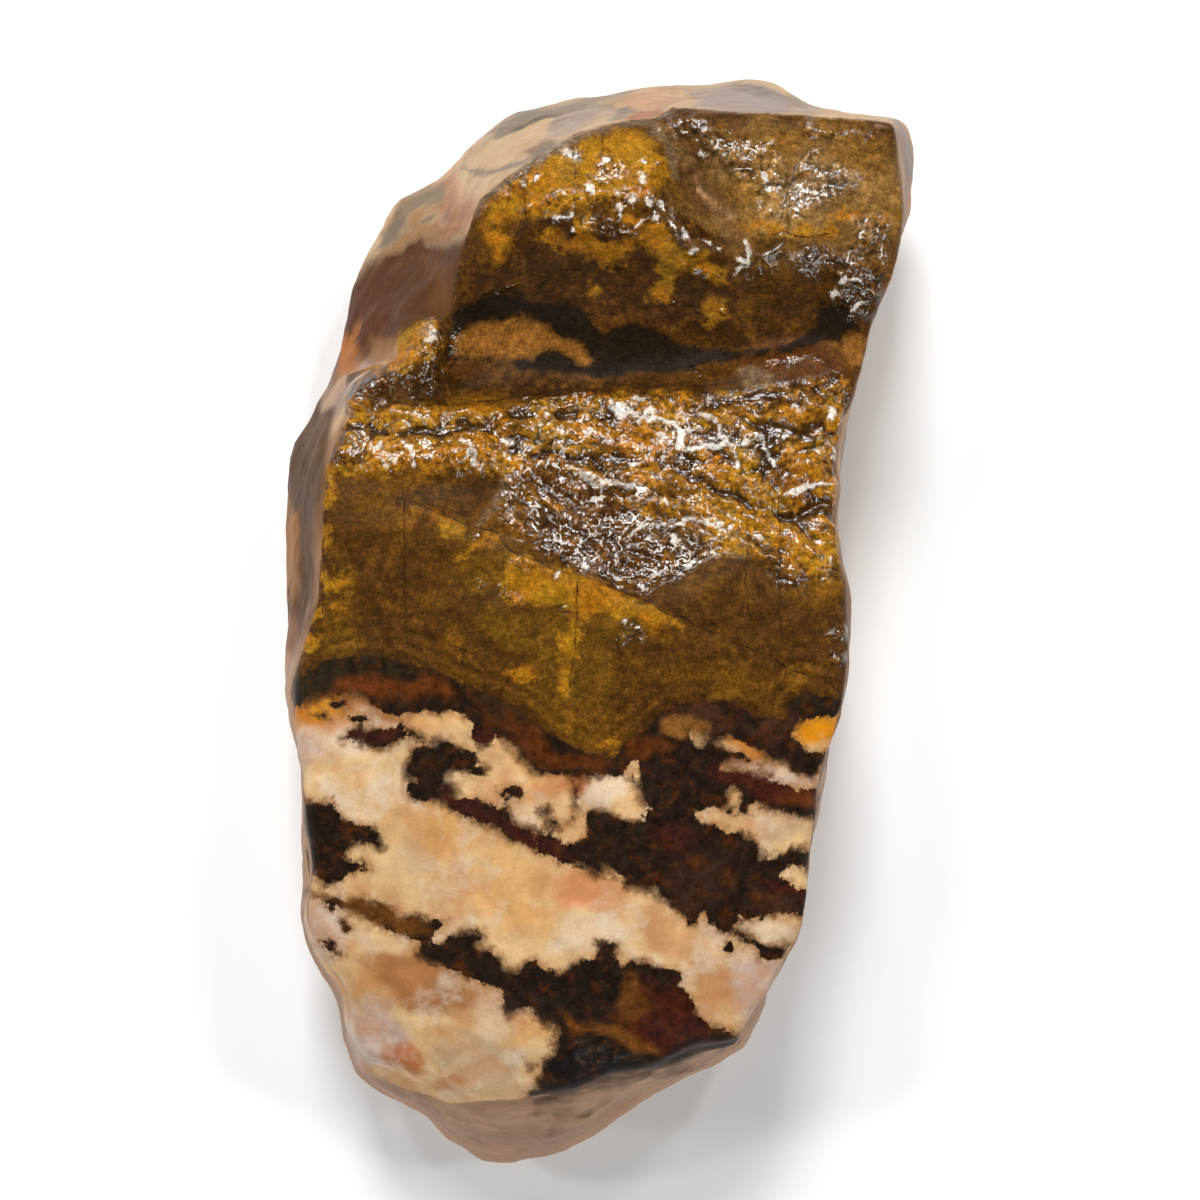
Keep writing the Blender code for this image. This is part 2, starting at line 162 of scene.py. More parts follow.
RIM = [
    5.5, 48.2, 7.2, 49.3, 12.5, 48.9, 20, 48.5, 29.5, 47.9, 30.2, 43, 30.5, 37.8, 29.7, 33.2, 27.3, 27,
    26, 21.5, 24.7, 16.5, 24.5, 11.5, 23.8, 7.8, 24.8, 3, 25.3, -2.5, 25, -8, 23.7, -12, 22.7, -16.5,
    22.2, -21.5, 21.2, -25, 20.9, -30, 20, -33, 17.8, -37.5, 15.2, -42, 14.1, -44.6, 10, -45.2, 5.5, -46.8,
    1, -47.3, -2.5, -48.9, -8, -49.9, -15, -50.4, -19.5, -48.8, -24, -47, -25.5, -43.5, -25.8, -40,
    -28.2, -36.5, -29.7, -32.5, -29.3, -28, -29.5, -21, -30.3, -14.5, -31, -9, -30, -5.5, -28.2, 0,
    -27.8, 7, -27.5, 13, -25.5, 18, -25.4, 22.5, -22.5, 23.6, -20.3, 24, -20.4, 27.6, -17, 28.2, -15, 28.9,
    -14.5, 33, -12.2, 40, -7.5, 43.7, -2.5, 46.7, 3, 48.1,
]  # fmt: skip
on_face = np.minimum((normals[:, 2] - FACE_TILT) * 5, within(seen_x, seen_y, RIM))

# flat spots on the sides, cut off from the broken face, belong to the sides
joined = np.hypot(seen_x, seen_y) < FACE_MIDDLE
ends = np.empty(len(rock_mesh.edges) * 2, np.int32)
rock_mesh.edges.foreach_get("vertices", ends)
edge_a, edge_b = ends.reshape(-1, 2).T
for _ in range(FARTHEST):
    touched = joined[edge_a] | joined[edge_b]
    grown = joined.copy()
    grown[edge_a[touched]] = True
    grown[edge_b[touched]] = True
    grown &= on_face > 0
    if (grown == joined).all():
        break
    joined = grown
on_face = np.where(joined, on_face, np.minimum(on_face, -0.5))

# THE BROKEN FACE
# Where the rock split it left a smooth wavy jasper plane, a shelf of wet rounded grains, a domed boss and
# a rough lobe. Hair cracks run down and across it, healed with darker quartz.

FACE_RELIEF_FADE = (-0.8, 0.4)
BEDDING_DIP = math.radians(22.0)  # down to the right
LUMP_SIZE = 2.3
LUMP_LIFT = 0.75
GRAIN_SIZE = 1.25
GRAIN_LIFT = 0.24
CREASE_DEPTH = 0.4  # the part of a grain's height that is sunk below the old surface
RUN_WIDTH = 0.34
RUN_LIFT = 0.3
GLINT_GRAIN_LIFT = 0.1
PLANE_LIFT = 0.12  # the gentle waves of the smooth plane
LAYER_LIFT = 0.25
SKIN_LIFT = 0.16  # the roughness of the sides
BACK_LEVEL = 1.0  # the sawn back stays flat up to here
WET_SHELF = [
    -25.8, 21, -22, 20, -16, 19.4, -10, 19.6, -2, 20.6, 6, 21, 14, 20.6, 24, 23, 26, 20, 24.2, 12,
    23.6, 7.8, 24.6, 2, 18, 0.8, 14, 5.5, 8.5, 4.2, 4, 0.6, -1.5, 2.8, -6.5, 5.2, -9.6, 8.6, -10.4, 12.4,
    -16, 12.4, -24, 12.6, -27, 13,
]  # fmt: skip
SUGARY_SHELF = [
    -10, 13, -6, 14.6, 2, 13.4, 9, 11, 14.5, 7.5, 13, 5.2, 8, 3, 4, 1, -1, 2.6, -6, 5.2, -9.8, 8,
]  # fmt: skip
BLOBBY_SHELF = [-8, 21, 0, 21, 9, 20, 15.5, 16, 12, 12.6, 0, 13.4, -9, 14.4]
SUGARY_LOBE = [
    6, 48.3, 9.5, 48.2, 12, 46.4, 14.7, 46.1, 17.7, 45.8, 17.9, 44.7, 18.8, 43.5, 18.9, 41.2, 18.2, 40,
    15.6, 40.8, 14.7, 41.8, 13.3, 42.6, 12.3, 43.8, 11, 45, 9.7, 45.5, 6.8, 46.7,
]  # fmt: skip
SILVER_PATCH = [
    18.6, 39.8, 19.8, 43.2, 20.8, 44.7, 22.3, 44.5, 21.8, 43.4, 23.7, 43.2, 26, 42.5, 25.7, 40.7,
    23.7, 40.2, 21.7, 39.2, 20, 37.8, 19, 37.6, 18.3, 38.2,
]  # fmt: skip
LOBE_CORNER = [
    18.8, 35.4, 22.6, 35.2, 24, 34.6, 25.4, 36, 25.7, 38.2, 28.4, 38.2, 28.6, 35, 28.2, 31, 27.4, 28.4,
    25.4, 28.4, 23.2, 30, 24.2, 32.2, 21.4, 32.8, 19, 34,
]  # fmt: skip
SUGARY_KNOB = [-25.5, 22, -20, 23.5, -15.5, 28, -14.6, 26, -16, 21, -25, 20]
GLINT_SPOTS = [  # x, y, half length, half width, and turn if it has one
    (-12, 1.7, 0.6, 0.4, -40), (-9.1, 0.3, 1.1, 0.4, -35), (-7.6, 3.6, 1.2, 0.5), (2.8, -3.9, 1.4, 0.4, 10),
    (-3.2, -0.9, 0.7, 0.3, -30), (23.8, -3.4, 1.4, 0.7, 10), (23.9, -5.6, 1, 0.6, 10),
    (-28, 14.2, 0.9, 2.4), (-12.2, 6.6, 0.5, 0.3), (-8.8, 41.9, 0.4, 3, -45), (-5, 44.7, 0.3, 1.6, -50),
    (-7.6, 41.5, 0.5, 0.8, 30), (-16.8, 26.2, 1, 1.8, 10), (-15.8, 23.9, 1.2, 0.5),
    (17.8, 24.1, 1.8, 0.5, 5), (21.5, 24.1, 0.7, 0.5), (-9.4, 31.2, 1, 0.3, 25), (15.9, 39.5, 0.5, 0.5),
    (16.8, 38.4, 0.8, 0.6), (21.4, 47.1, 1, 0.6, -20), (23.2, 46.8, 1, 0.6), (25.3, 46.6, 0.8, 0.5),
    (27.1, 46.3, 0.5, 0.4), (28, 47.3, 0.5, 0.4, -40), (13.4, 42.9, 1.4, 0.5, -38), (1, 37.4, 3.6, 0.8),
    (-9.5, 40.9, 0.6, 0.6), (0.2, 36.4, 0.4, 0.4, -40), (-4.1, 35.2, 0.2, 0.3), (10.4, 32.6, 1.2, 0.5, -15),
    (8.6, 33.2, 0.4, 0.3), (4.1, 36.5, 0.4, 0.3), (7.4, 29.6, 0.3, 0.3), (12.1, 28.7, 0.3, 0.3),
    (9.8, 22.6, 0.3, 0.3), (16.9, 33.9, 2, 0.8, 38), (-4.5, 40, 1.6, 0.7, 15), (-1, 40.6, 1.8, 0.8),
    (2.5, 40.4, 1.8, 0.8), (5.8, 40, 1.6, 0.8, -20), (7.4, 38, 0.7, 1.6), (0.5, 42.6, 1.8, 0.6),
    (4.4, 42.8, 1.2, 0.6), (-7.4, 39.4, 1, 0.5, 40),
]  # fmt: skip
# Grains that stand a little proud and carry white paint as painted glints, where the wet grains catch the
# light.
GLINT_GRAINS = [  # x, y, half length, half width, and turn if it has one
    (-2.2, 19.9, 0.4, 0.6), (-2.2, 18.1, 0.6, 0.5), (-5.4, 18.3, 0.5, 0.5), (-3.8, 17, 0.9, 0.4, -40),
    (-1.3, 16.6, 0.5, 0.4), (2.2, 18.7, 1, 0.5, -50), (4, 19.9, 0.9, 0.5, 15), (6.2, 16.2, 1.1, 0.8),
    (4.3, 15.1, 0.7, 0.4, -20), (3.6, 13.7, 0.8, 0.4, -10), (-1.6, 12.2, 1.5, 0.5, -38),
    (0.1, 11.8, 0.7, 0.4, 30), (-4.4, 14.6, 0.3, 0.6), (-6.2, 13.6, 0.3, 0.7, -15),
    (-9.3, 15.8, 1, 0.4, -15), (7.6, 6.2, 0.7, 0.5), (6, 2.4, 1, 0.5, 10), (1.6, 2.4, 1.1, 0.4, -15),
    (4.2, 1.2, 0.5, 0.3), (-4.2, 2.8, 0.5, 0.6), (-22, 15.4, 0.5, 0.8), (-20.8, 14, 0.4, 0.6),
    (-17.4, 18, 0.6, 0.4), (-13.2, 14.8, 0.4, 1, -30), (19.4, 19.4, 0.8, 0.4, 20), (23.1, 18.5, 0.5, 1),
    (23.7, 14.5, 0.4, 0.9), (19.7, 10.7, 1.7, 0.4, 30), (22.3, 11.6, 1, 0.3, 10), (22, 6.1, 0.9, 0.4),
    (23.1, 4, 0.5, 0.5), (15.9, 6.1, 0.8, 0.4, -30), (11.9, 7.8, 0.9, 0.5), (14.2, 34, 1.2, 0.5, -20),
    (17, 35, 1.6, 0.3, 38), (24.6, 31.9, 0.5, 0.9), (25.6, 31.6, 0.6, 0.6), (23.5, 30.2, 0.6, 0.4),
    (26.1, 29.4, 0.5, 1, -30), (7.3, 37.2, 1.4, 0.3, -50), (6.2, 39.6, 0.4, 1.1, 10),
    (-2.9, 44.7, 0.8, 0.9), (0.4, 44, 0.7, 0.5), (2.1, 43.4, 0.5, 0.4), (4.4, 43.8, 0.5, 0.4, 20),
    (4.3, 42.3, 0.7, 0.4, 40), (3.4, 39.9, 0.8, 0.6), (5, 39.7, 0.6, 0.9), (2.1, 39.2, 0.4, 1),
    (-1, 41.1, 0.7, 0.9, 20), (-6.4, 42.4, 0.3, 0.8, -40), (-7.7, 41.6, 0.3, 0.9, 30),
    (-2.8, 38.8, 0.4, 0.9), (-4.2, 38.2, 1.2, 0.4, 5), (2, 37, 0.8, 0.4), (4, 37.6, 0.9, 0.4, 10),
    (5.4, 38.2, 0.4, 0.7), (8.6, 36.6, 0.4, 1.2, 20), (10.4, 35.6, 0.7, 0.4, -30), (11.6, 34.8, 0.5, 0.4),
    (9.2, 34.6, 0.4, 0.4), (10.4, 44.6, 0.8, 0.4, -20), (12.2, 44.9, 0.5, 0.4), (14.4, 44.4, 0.6, 0.4, 20),
    (-2.8, 37.1, 0.5, 0.4), (5.8, 43.6, 0.4, 0.4), (3.6, -2.4, 1.2, 0.25, -30), (2.4, -2.4, 0.3, 0.6, -20),
    (-16.8, 26.4, 0.4, 1.3, 10), (11.6, 15.4, 1.6, 0.4, 10), (8.9, 3.6, 1, 0.4, 30),
    (-6.4, 12, 0.9, 0.3, -30),
]  # fmt: skip


def blot(x, y, middle_x, middle_y, half_x, half_y, turn=0):
    """How far out a place is from the middle of a turned ellipse, 1 at its edge."""
    c, s = math.cos(math.radians(turn)), math.sin(math.radians(turn))
    dx, dy = x - middle_x, y - middle_y
    return np.hypot((dx * c + dy * s) / half_x, (dy * c - dx * s) / half_y)


def sugary_amount(x, y):
    """How grainy the break is, from 0 on the smooth plane to 1 where it is all rounded grains."""
    amount = 0.6 * soft(within(x, y, WET_SHELF), -0.6, 1.0)
    for outline, full in [
        (SUGARY_SHELF, 1), (BLOBBY_SHELF, 0.9), (SUGARY_LOBE, 1), (SILVER_PATCH, 1), (LOBE_CORNER, 1),
        (SUGARY_KNOB, 0.85),
    ]:  # fmt: skip
        amount = np.maximum(amount, full * soft(within(x, y, outline), -0.8, 0.8))
    for spot in GLINT_SPOTS + GLINT_GRAINS:
        amount = np.maximum(amount, 0.75 * soft(1.7 - blot(x, y, *spot), 0, 1.2))
    return amount


def grape_height(places, size):
    """Rounded grains side by side, 1 at their tops and 0 in the creases between them."""
    nearest = np.array([noise.voronoi(Vector(place))[0][:2] for place in places / size])
    return np.clip((nearest[:, 1] - nearest[:, 0]) / 0.7, 0, 1)


SHELF_RIDGES = [  # x, y, half length, half width, turn, height
    (-14.5, 18.9, 5.5, 0.8, 2, 0.5), (-17.5, 14.4, 7.6, 1.2, -2, 0.6), (-12.2, 16, 2.2, 1, -15, 0.5),
    (-12.8, 17.6, 1.6, 0.7, -8, -0.7), (-20, 17, 3, 0.8, -5, 0.4), (-2.5, 20, 3.2, 0.7, 8, 0.5),
    (-2, 17, 5, 0.9, -18, 0.5), (4.5, 16.6, 2.2, 1.4, 0, 0.5), (-1, 12.6, 4.2, 0.7, -22, 0.5),
    (7, 12, 4, 0.8, -18, 0.45), (13, 12.6, 4, 0.9, -22, 0.5), (10.5, 8.6, 4.5, 0.8, -24, 0.5),
    (15.5, 8.2, 4.2, 0.8, -26, 0.55), (14.5, 5.4, 4, 0.7, -26, 0.45), (20.5, 13.8, 2.4, 1.2, -15, 0.5),
    (21.6, 5, 2.6, 1.4, -20, 0.5), (20.8, 9.2, 2.8, 0.6, 20, -0.6), (5, 8.6, 3.4, 0.6, -24, 0.4),
    (-5.5, 9.6, 3.4, 0.6, -20, 0.4), (12, 18.4, 5, 0.8, 0, 0.4), (20, 18.6, 3.6, 0.9, 6, 0.5),
    (-24, 19.6, 1.8, 1, 0, 0.5), (17, 15.2, 0.7, 2.4, -10, -0.4), (-19.5, 16.9, 5, 0.5, -3, -0.6),
    (2.8, 14.3, 2.6, 0.5, -28, -0.6), (4.4, 11.2, 4.4, 0.45, -20, -0.6), (-6, 14.6, 4.6, 0.45, -6, -0.5),
    (12.6, 10.6, 4, 0.45, -22, -0.5), (10, 13.8, 3.5, 0.45, -14, -0.5), (-8, 18.6, 2, 0.5, 10, -0.5),
    (16.4, 17.6, 2.6, 0.5, -8, -0.5), (19.6, 7.4, 2.6, 0.45, -25, -0.5), (7.6, 6.6, 3.5, 0.4, -24, -0.4),
    (-3, 19, 3, 0.4, 4, -0.4), (1, 5.6, 4, 0.4, -22, -0.35), (-4, 8, 3, 0.4, -26, -0.35),
]  # fmt: skip
# Runs of water over the grains, raised a little as ridges and painted white along them as painted glints.
RUNS_WITH_PAINTED_GLINTS = [
    [1.2, 19.5, 2.8, 18.8, 4, 17.5, 4.8, 19.2, 5.5, 18, 7.5, 17.6, 8.3, 16.8, 8.4, 15, 10, 15.3, 11.2, 15.7,
     13, 15.5, 14.8, 16.2],
    [15.5, 16.5, 16.5, 16, 16.8, 14.5, 17.3, 13.5], [18.5, 10.3, 19.7, 11.3, 21, 11.6, 23.5, 12],
    [-19.5, 15.5, -18.8, 14.5, -18.4, 13.4], [-13.7, 15.7, -12.5, 14.2, -12, 12.6],
    [-24, 16.5, -22.5, 15, -21.5, 13.6], [14.2, 36, 15, 34.6, 14.8, 33.3, 13.5, 33],
    [4.1, 18.9, 5.1, 18.1, 6.9, 17.9, 8.2, 16.8, 8.2, 15.2, 10, 15.4], [-2.2, 13.2, 0, 12, 4, 11.4],
    [3, 6.5, 5, 7.6, 8, 7.4, 9.5, 8, 12, 7], [10.2, 18.8, 13.6, 15, 14, 13],
]  # fmt: skip

face_share = soft(on_face, *FACE_RELIEF_FADE)
run_x = seen_x + 0.7 * grainy(points + 401.0, 2.0, 2)
run_y = seen_y + 0.7 * grainy(points + 431.0, 2.0, 2)
sugary = sugary_amount(run_x, run_y) * face_share
shelf_share = soft(within(run_x, run_y, WET_SHELF), -0.4, 1.0)
finer_grained = soft(within(run_x, run_y, SUGARY_SHELF), -0.8, 1.5)
lumpy = np.maximum(shelf_share * (1 - 0.5 * finer_grained), 0.3 * sugary) * face_share
grains = sugary > 0.02
bent = points[grains] + 0.9 * np.stack([grainy(points[grains] + shift, 3.0, 2) for shift in (11, 47, 83)], 1)
dip_cos, dip_sin = math.cos(BEDDING_DIP), math.sin(BEDDING_DIP)


def bedded(places, along_beds, upright=1.0):
    """Places turned to lie along the beds. A part of 1 draws features out that way."""
    x, y, z = places.T
    return np.stack([along_beds * (x * dip_cos - y * dip_sin), x * dip_sin + y * dip_cos, upright * z], 1)


lump_top = np.full(len(points), 0.5)
lump_top[grains] = grape_height(bedded(bent, 0.5, 0.8), LUMP_SIZE)
grain_top = np.full(len(points), 0.5)
grain_top[grains] = grape_height(bent + 19.0, GRAIN_SIZE)
lift = LUMP_LIFT * lumpy * (lump_top - CREASE_DEPTH) + GRAIN_LIFT * sugary**1.3 * (grain_top - CREASE_DEPTH)
ridge_lift = np.zeros(len(points))
for x, y, half_x, half_y, turn, height in SHELF_RIDGES:
    ridge_lift += height * np.exp(-1.2 * blot(run_x, run_y, x, y, half_x, half_y, turn) ** 2)
run_ridge_and_glint = np.zeros(len(points))
for line in RUNS_WITH_PAINTED_GLINTS:
    run_ridge_and_glint = np.maximum(run_ridge_and_glint, np.exp(-((beside(run_x, run_y, line) / RUN_WIDTH) ** 2)))
# painted glints: how much white is painted on the glint grains, which also stand a little proud
painted_glint_grain = np.zeros(len(points))
for grain in GLINT_GRAINS:
    painted_glint_grain = np.maximum(painted_glint_grain, soft(1.2 - blot(run_x, run_y, *grain), 0, 0.9))
lift += (ridge_lift + RUN_LIFT * run_ridge_and_glint + GLINT_GRAIN_LIFT * painted_glint_grain) * face_share
level_ground = face_share > 0.02
lift[level_ground] += PLANE_LIFT * face_share[level_ground] * grainy(points[level_ground] + 29.0, 3.2, 4)
# how high each place stands among the grains, for the painted shade in the creases and the painted light on
# the tops
crevice = 0.45 * lump_top + 0.35 * grain_top + 0.9 * ridge_lift
low, high = np.percentile(crevice[shelf_share * sugary > 0.3], (6, 94))
crevice = np.clip((crevice - low) / (high - low), 0, 1)

LONG_CRACK = [
    -23, 11.7, -20.7, 10.6, -15.1, 8.4, -10.6, 6.9, -9.4, 5.4, -4.9, 3.1, -0.4, 2, 4.1, 0.1, 7.1, -1.4,
    9.7, -2.5, 14.2, -4.4, 18.8, -6.7, 24.2, -9,
]  # fmt: skip
UPRIGHT_CRACK = [18.3, 17.5, 17.9, 11, 18.1, 5, 18, 0.5, 18.2, -4]
HAIR_CRACKS = [
    [-19.7, 12.8, -19.5, 6, -19.6, 0, -19.3, -5], [-27.6, 9, -27.8, 3, -27.6, -1],
    [14.8, 7, 14.6, 2, 14.8, -1], [-2.3, 3.5, -2.2, -1, -2.5, -5, -3.1, -9],
    [18.5, 8.8, 19.4, 8.2, 20.4, 8.9], [-7.5, 44, -7.4, 38], [-2.2, 46, -2, 40], [0.3, 46.5, 0.2, 42],
    [18, 37.8, 18.5, 39.8, 19.1, 41.8, 19.5, 43.3, 20.7, 44.8], [14.8, 36.4, 18, 36.6, 21, 36.4, 23, 36.6],
    [-9.7, 4.4, -9.6, 1.2], [-2.7, 47, -2.5, 38.6],
    [-24.9, 20.5, -17, 19.3, -10, 20, -4, 21, 5, 21.7, 12, 21.5],
]  # fmt: skip
CRACK_DEPTH = 0.08
CRACK_WIDTH = 0.3

wander = 0.35 * grainy(points + 61.0, 2.5, 3)
crack_side = np.full(len(points), 9.0)
for line in [LONG_CRACK, UPRIGHT_CRACK] + HAIR_CRACKS:
    to_line = beside(seen_x + wander * 0.6, seen_y + wander, line)
    crack_side = np.where(np.abs(to_line) < np.abs(crack_side), to_line, crack_side)
crack_near = np.exp(-((crack_side / 0.8) ** 2)) * face_share
lift -= CRACK_DEPTH * np.exp(-((crack_side / CRACK_WIDTH) ** 2)) * face_share

LAYER_LINES = [9, 47.6, 15, 47.2, 22, 47, 29, 46.4, 29, 44.8, 18, 45.4, 9, 46]
layers = soft(within(seen_x, seen_y, LAYER_LINES), -0.6, 0.6)
flat = np.stack([seen_x / 7.0, seen_y / 0.8, 0 * seen_x], 1)
lined = layers > 0.02
lift[lined] += LAYER_LIFT * layers[lined] * grainy(flat[lined], 1.0, 2)

lift += (1 - face_share) * np.where(points[:, 2] > BACK_LEVEL, SKIN_LIFT, 0.0) * grainy(points + 7.0, 3.0, 4)
points += normals * lift[:, None]

# THE JASPER END
# Iron-stained opaque quartz. Mustard brown on the smooth plane, golden ochre where less iron came in, and
# black with manganese along the foot of the hollow.


def colour(code):
    """Linear red, green and blue of a paint maker's hex code."""
    shades = [int(code[i : i + 2], 16) / 255 for i in (1, 3, 5)]
    return np.array([s / 12.92 if s <= 0.04045 else ((s + 0.055) / 1.055) ** 2.4 for s in shades])


MUSTARD = colour("#4b2f0c")
UMBER = colour("#3b240c")
DEEP_UMBER = colour("#281708")
OCHRE = colour("#855813")
GOLD = colour("#a67a14")
AMBER = colour("#9a580c")
RUST_BROWN = colour("#562b0d")
TAN = colour("#8d5c24")
SOOT = colour("#18120b")
PEBBLE_GREY = colour("#76654d")
LOBE_BROWN = colour("#a27a40")
OLIVE = colour("#704f10")
# the white of the painted glints
GLINT_WHITE = colour("#f0eadf")
GROOVE_BROWN = colour("#775634")
SHELF_AMBER = colour("#704810")
SUGAR_BROWN = colour("#452606")
FRECKLE_BROWN = colour("#6b4413")
RUN_HIGHLIGHT_TAN = colour("#a8825c")

JASPER_STAINS = [  # x, y, half length, half width, colour, strength, and turn if it has one
    (20, 40, 12, 8, LOBE_BROWN, 0.9), (22, 42, 4.5, 3.5, PEBBLE_GREY, 0.6, 10), (25, 35, 5, 6, UMBER, 0.5),
    (18, 34, 6, 3, UMBER, 0.6), (12, 42, 2.2, 7, PEBBLE_GREY, 0.2, 22), (-2, 43, 11, 4.5, OCHRE, 0.85, 5),
    (24, 45, 6, 2.6, OCHRE, 0.5, -8), (13.6, 40.4, 2.4, 2.4, OCHRE, 0.5), (17, 31, 4, 2.4, OLIVE, 0.6),
    (1.5, 28.6, 2, 1.5, RUST_BROWN, 0.7), (7, 28.8, 3.4, 1.4, RUST_BROWN, 0.7),
    (-12.4, 22.6, 3, 1.6, RUST_BROWN, 0.6), (-9, 36, 4, 5, OCHRE, 0.6, 60),
    (-4, 34.5, 9, 4.5, DEEP_UMBER, 0.9), (6, 33, 6.5, 5, UMBER, 0.7), (-6, 31, 8, 3, DEEP_UMBER, 0.8),
    (14, 29.5, 7, 4, UMBER, 0.8), (22, 29, 6, 3.5, UMBER, 0.7), (15.5, 22, 3.5, 1.6, PEBBLE_GREY, 0.45, 10),
    (19, 23.5, 7, 3, RUST_BROWN, 0.7, 8), (25.4, 24.5, 1.6, 1.8, TAN, 0.8),
    (0, 12.5, 26, 8.2, SHELF_AMBER, 0.95), (0, 20.8, 24, 1.4, UMBER, 0.7, 1),
    (-10, 21.5, 12, 1.6, DEEP_UMBER, 0.7), (-20, 17, 6, 3, OCHRE, 0.55), (-12, 17.5, 7, 2.5, OCHRE, 0.5),
    (-2, 17, 7, 3, RUST_BROWN, 0.4), (2, 13.5, 5, 2, OCHRE, 0.8), (9, 14, 6, 3, OCHRE, 0.45),
    (0, 8, 10, 4.5, SUGAR_BROWN, 0.8, -25), (15, 8.5, 5, 3, OCHRE, 0.8), (21, 12, 4, 6, AMBER, 0.35),
    (21.5, 5, 3.5, 4, OCHRE, 0.75), (-15, 10.2, 5.5, 2.6, UMBER, 0.65),
    (-15, 8.6, 2, 0.8, AMBER, 0.85, -20), (-18.5, 8.8, 0.5, 0.5, AMBER, 0.7),
    (-8, -3, 5, 2.2, OLIVE, 0.7, -15), (-5, -10.5, 4, 2, OLIVE, 0.5, -20), (-12, 3, 3, 3.5, OLIVE, 0.6),
    (0, -1.5, 6, 2, OLIVE, 0.8, -10), (-3, -6, 5, 4.5, OLIVE, 0.5), (-1.5, -13, 4, 3, OCHRE, 0.35),
    (-26, -2, 2, 7, OLIVE, 0.5), (12, -8, 7, 1.4, OCHRE, 0.35, -8), (22, 1.5, 3, 2.5, OCHRE, 0.5),
    (-22, 0, 5, 6, UMBER, 0.35), (16, 0, 8, 3, UMBER, 0.35, -15),
]  # fmt: skip

swirl_x = seen_x + 1.5 * grainy(points + 101.0, 4.0, 3)
swirl_y = seen_y + 1.5 * grainy(points + 151.0, 4.0, 3)


def stained(ground, stains):
    """A ground colour with soft stains laid over it in turn, as red, green and blue at each point."""
    tint = np.tile(ground, (len(points), 1))
    for x, y, half_x, half_y, stain, strength, *turn in stains:
        share = (strength * soft(1.25 - blot(swirl_x, swirl_y, x, y, half_x, half_y, *turn), 0, 0.7))[:, None]
        tint = tint * (1 - share) + stain * share
    return tint


jasper_tint = stained(MUSTARD, JASPER_STAINS)


def painted(tint, strokes, x, y, reach=1.0):
    """Lays outlines of a colour over a tint in turn, each as strong and as soft-edged as it says."""
    for outline, shade, strength, softness in strokes:
        share = (strength * soft(within(x, y, outline), -softness, softness) * reach)[:, None]
        tint = tint * (1 - share) + shade * share
    return tint


JASPER_STROKES = [  # outline, colour, strength, softness
    # the trough between the boss and the lobe
    ([5, 47.8, 7.6, 47.6, 9, 45, 11, 42, 13.5, 38.4, 15.6, 35.2, 14.4, 34.8, 11.6, 37.2, 9.4, 40, 7.4, 43,
     5.6, 46], GROOVE_BROWN, 0.85, 0.6),
    ([7.6, 44.2, 9.4, 43, 10, 41, 11.6, 38.6, 10.4, 38, 8.4, 39.8, 7.6, 41.6], UMBER, 0.5, 0.6),
    # a thin light line along the trough: a painted highlight
    ([9.9, 41.3, 11.3, 39.8, 13.6, 38.1, 13.4, 37.7, 11, 39.4, 9.6, 41.1], RUN_HIGHLIGHT_TAN, 0.85, 0.15),
    ([8, 38.6, 9, 38.2, 10.7, 37, 12.4, 35.5, 11, 35.3, 9.7, 36, 8.3, 37], DEEP_UMBER, 0.95, 0.3),
    # the clouded rim of the boss
    ([-13, 38.6, -11.6, 40.6, -8.6, 43, -5, 45.2, -2, 46.8, 3, 48.4, 5.4, 47.4, 8.2, 44.4, 8, 42.4,
     7.2, 42.6, 7.2, 44.4, 4.8, 46.8, 3, 47.2, -1.8, 45.8, -4.8, 44.4, -8, 42.2, -10.9, 40, -12.2, 38],
     PEBBLE_GREY, 0.75, 0.3),
    # dark places on the lobe
    ([12.8, 44.2, 14.8, 43.8, 15.4, 43, 14.2, 42.8, 12.9, 43.5], UMBER, 0.85, 0.3),
    ([15.2, 36.5, 19.4, 36.2, 18.6, 35.4, 16.6, 34.9, 15.2, 35.2], DEEP_UMBER, 0.7, 0.3),
    ([23.2, 34.4, 25, 34, 28.2, 32.2, 27.8, 31.4, 25.4, 32.8, 23.4, 32.8], DEEP_UMBER, 0.8, 0.4),
    ([19, 33.4, 22.8, 32.4, 23.4, 30.6, 21, 31.4, 18.6, 32.6], UMBER, 0.7, 0.4),
    # under the boss
    ([-13.8, 36, -9.5, 37.6, -6, 37.6, -2, 36.2, 0, 35, 5, 35, 8, 36, 12.5, 34.4, 13, 30, 6, 28.6, -2, 28.6,
     -10, 30.4, -14.4, 29.6], UMBER, 0.75, 0.8),
    ([1.5, 29.6, 6, 29.4, 11, 29, 16, 29.2, 20, 28, 18, 25.6, 10, 25.4, 3, 27.6], DEEP_UMBER, 0.65, 1),
    # the block above the long crack, and the strip that bounds it
    ([-20.5, 11.6, -15, 13.2, -9.6, 13.2, -9.8, 11, -11.4, 7.4, -15, 8.9, -19.8, 10.3], UMBER, 0.7, 0.5),
    ([-9.7, 12.4, -9, 12.2, -10.6, 8.6, -11.4, 7.3, -12.2, 7.6], PEBBLE_GREY, 0.5, 0.25),
    # a clear grey pool at the right, and the grey and the tan flat by the hollow
    ([12.5, 6.2, 14, 6.6, 15.2, 5.6, 15, 4.2, 13.2, 4.6], PEBBLE_GREY, 0.6, 0.3),
    ([13.4, 23.2, 15.4, 23.4, 17.4, 22.8, 17, 21.4, 14.6, 20.8], PEBBLE_GREY, 0.75, 0.25),
    ([24, 26, 26.8, 26.2, 26.4, 23.4, 24.6, 23], TAN, 0.85, 0.3),
]  # fmt: skip
STRAY = 0.4  # how far the strokes follow the swirls of the stains
stroke_x = swirl_x * STRAY + seen_x * (1 - STRAY)
stroke_y = swirl_y * STRAY + seen_y * (1 - STRAY)
jasper_tint = painted(jasper_tint, JASPER_STROKES, stroke_x, stroke_y)

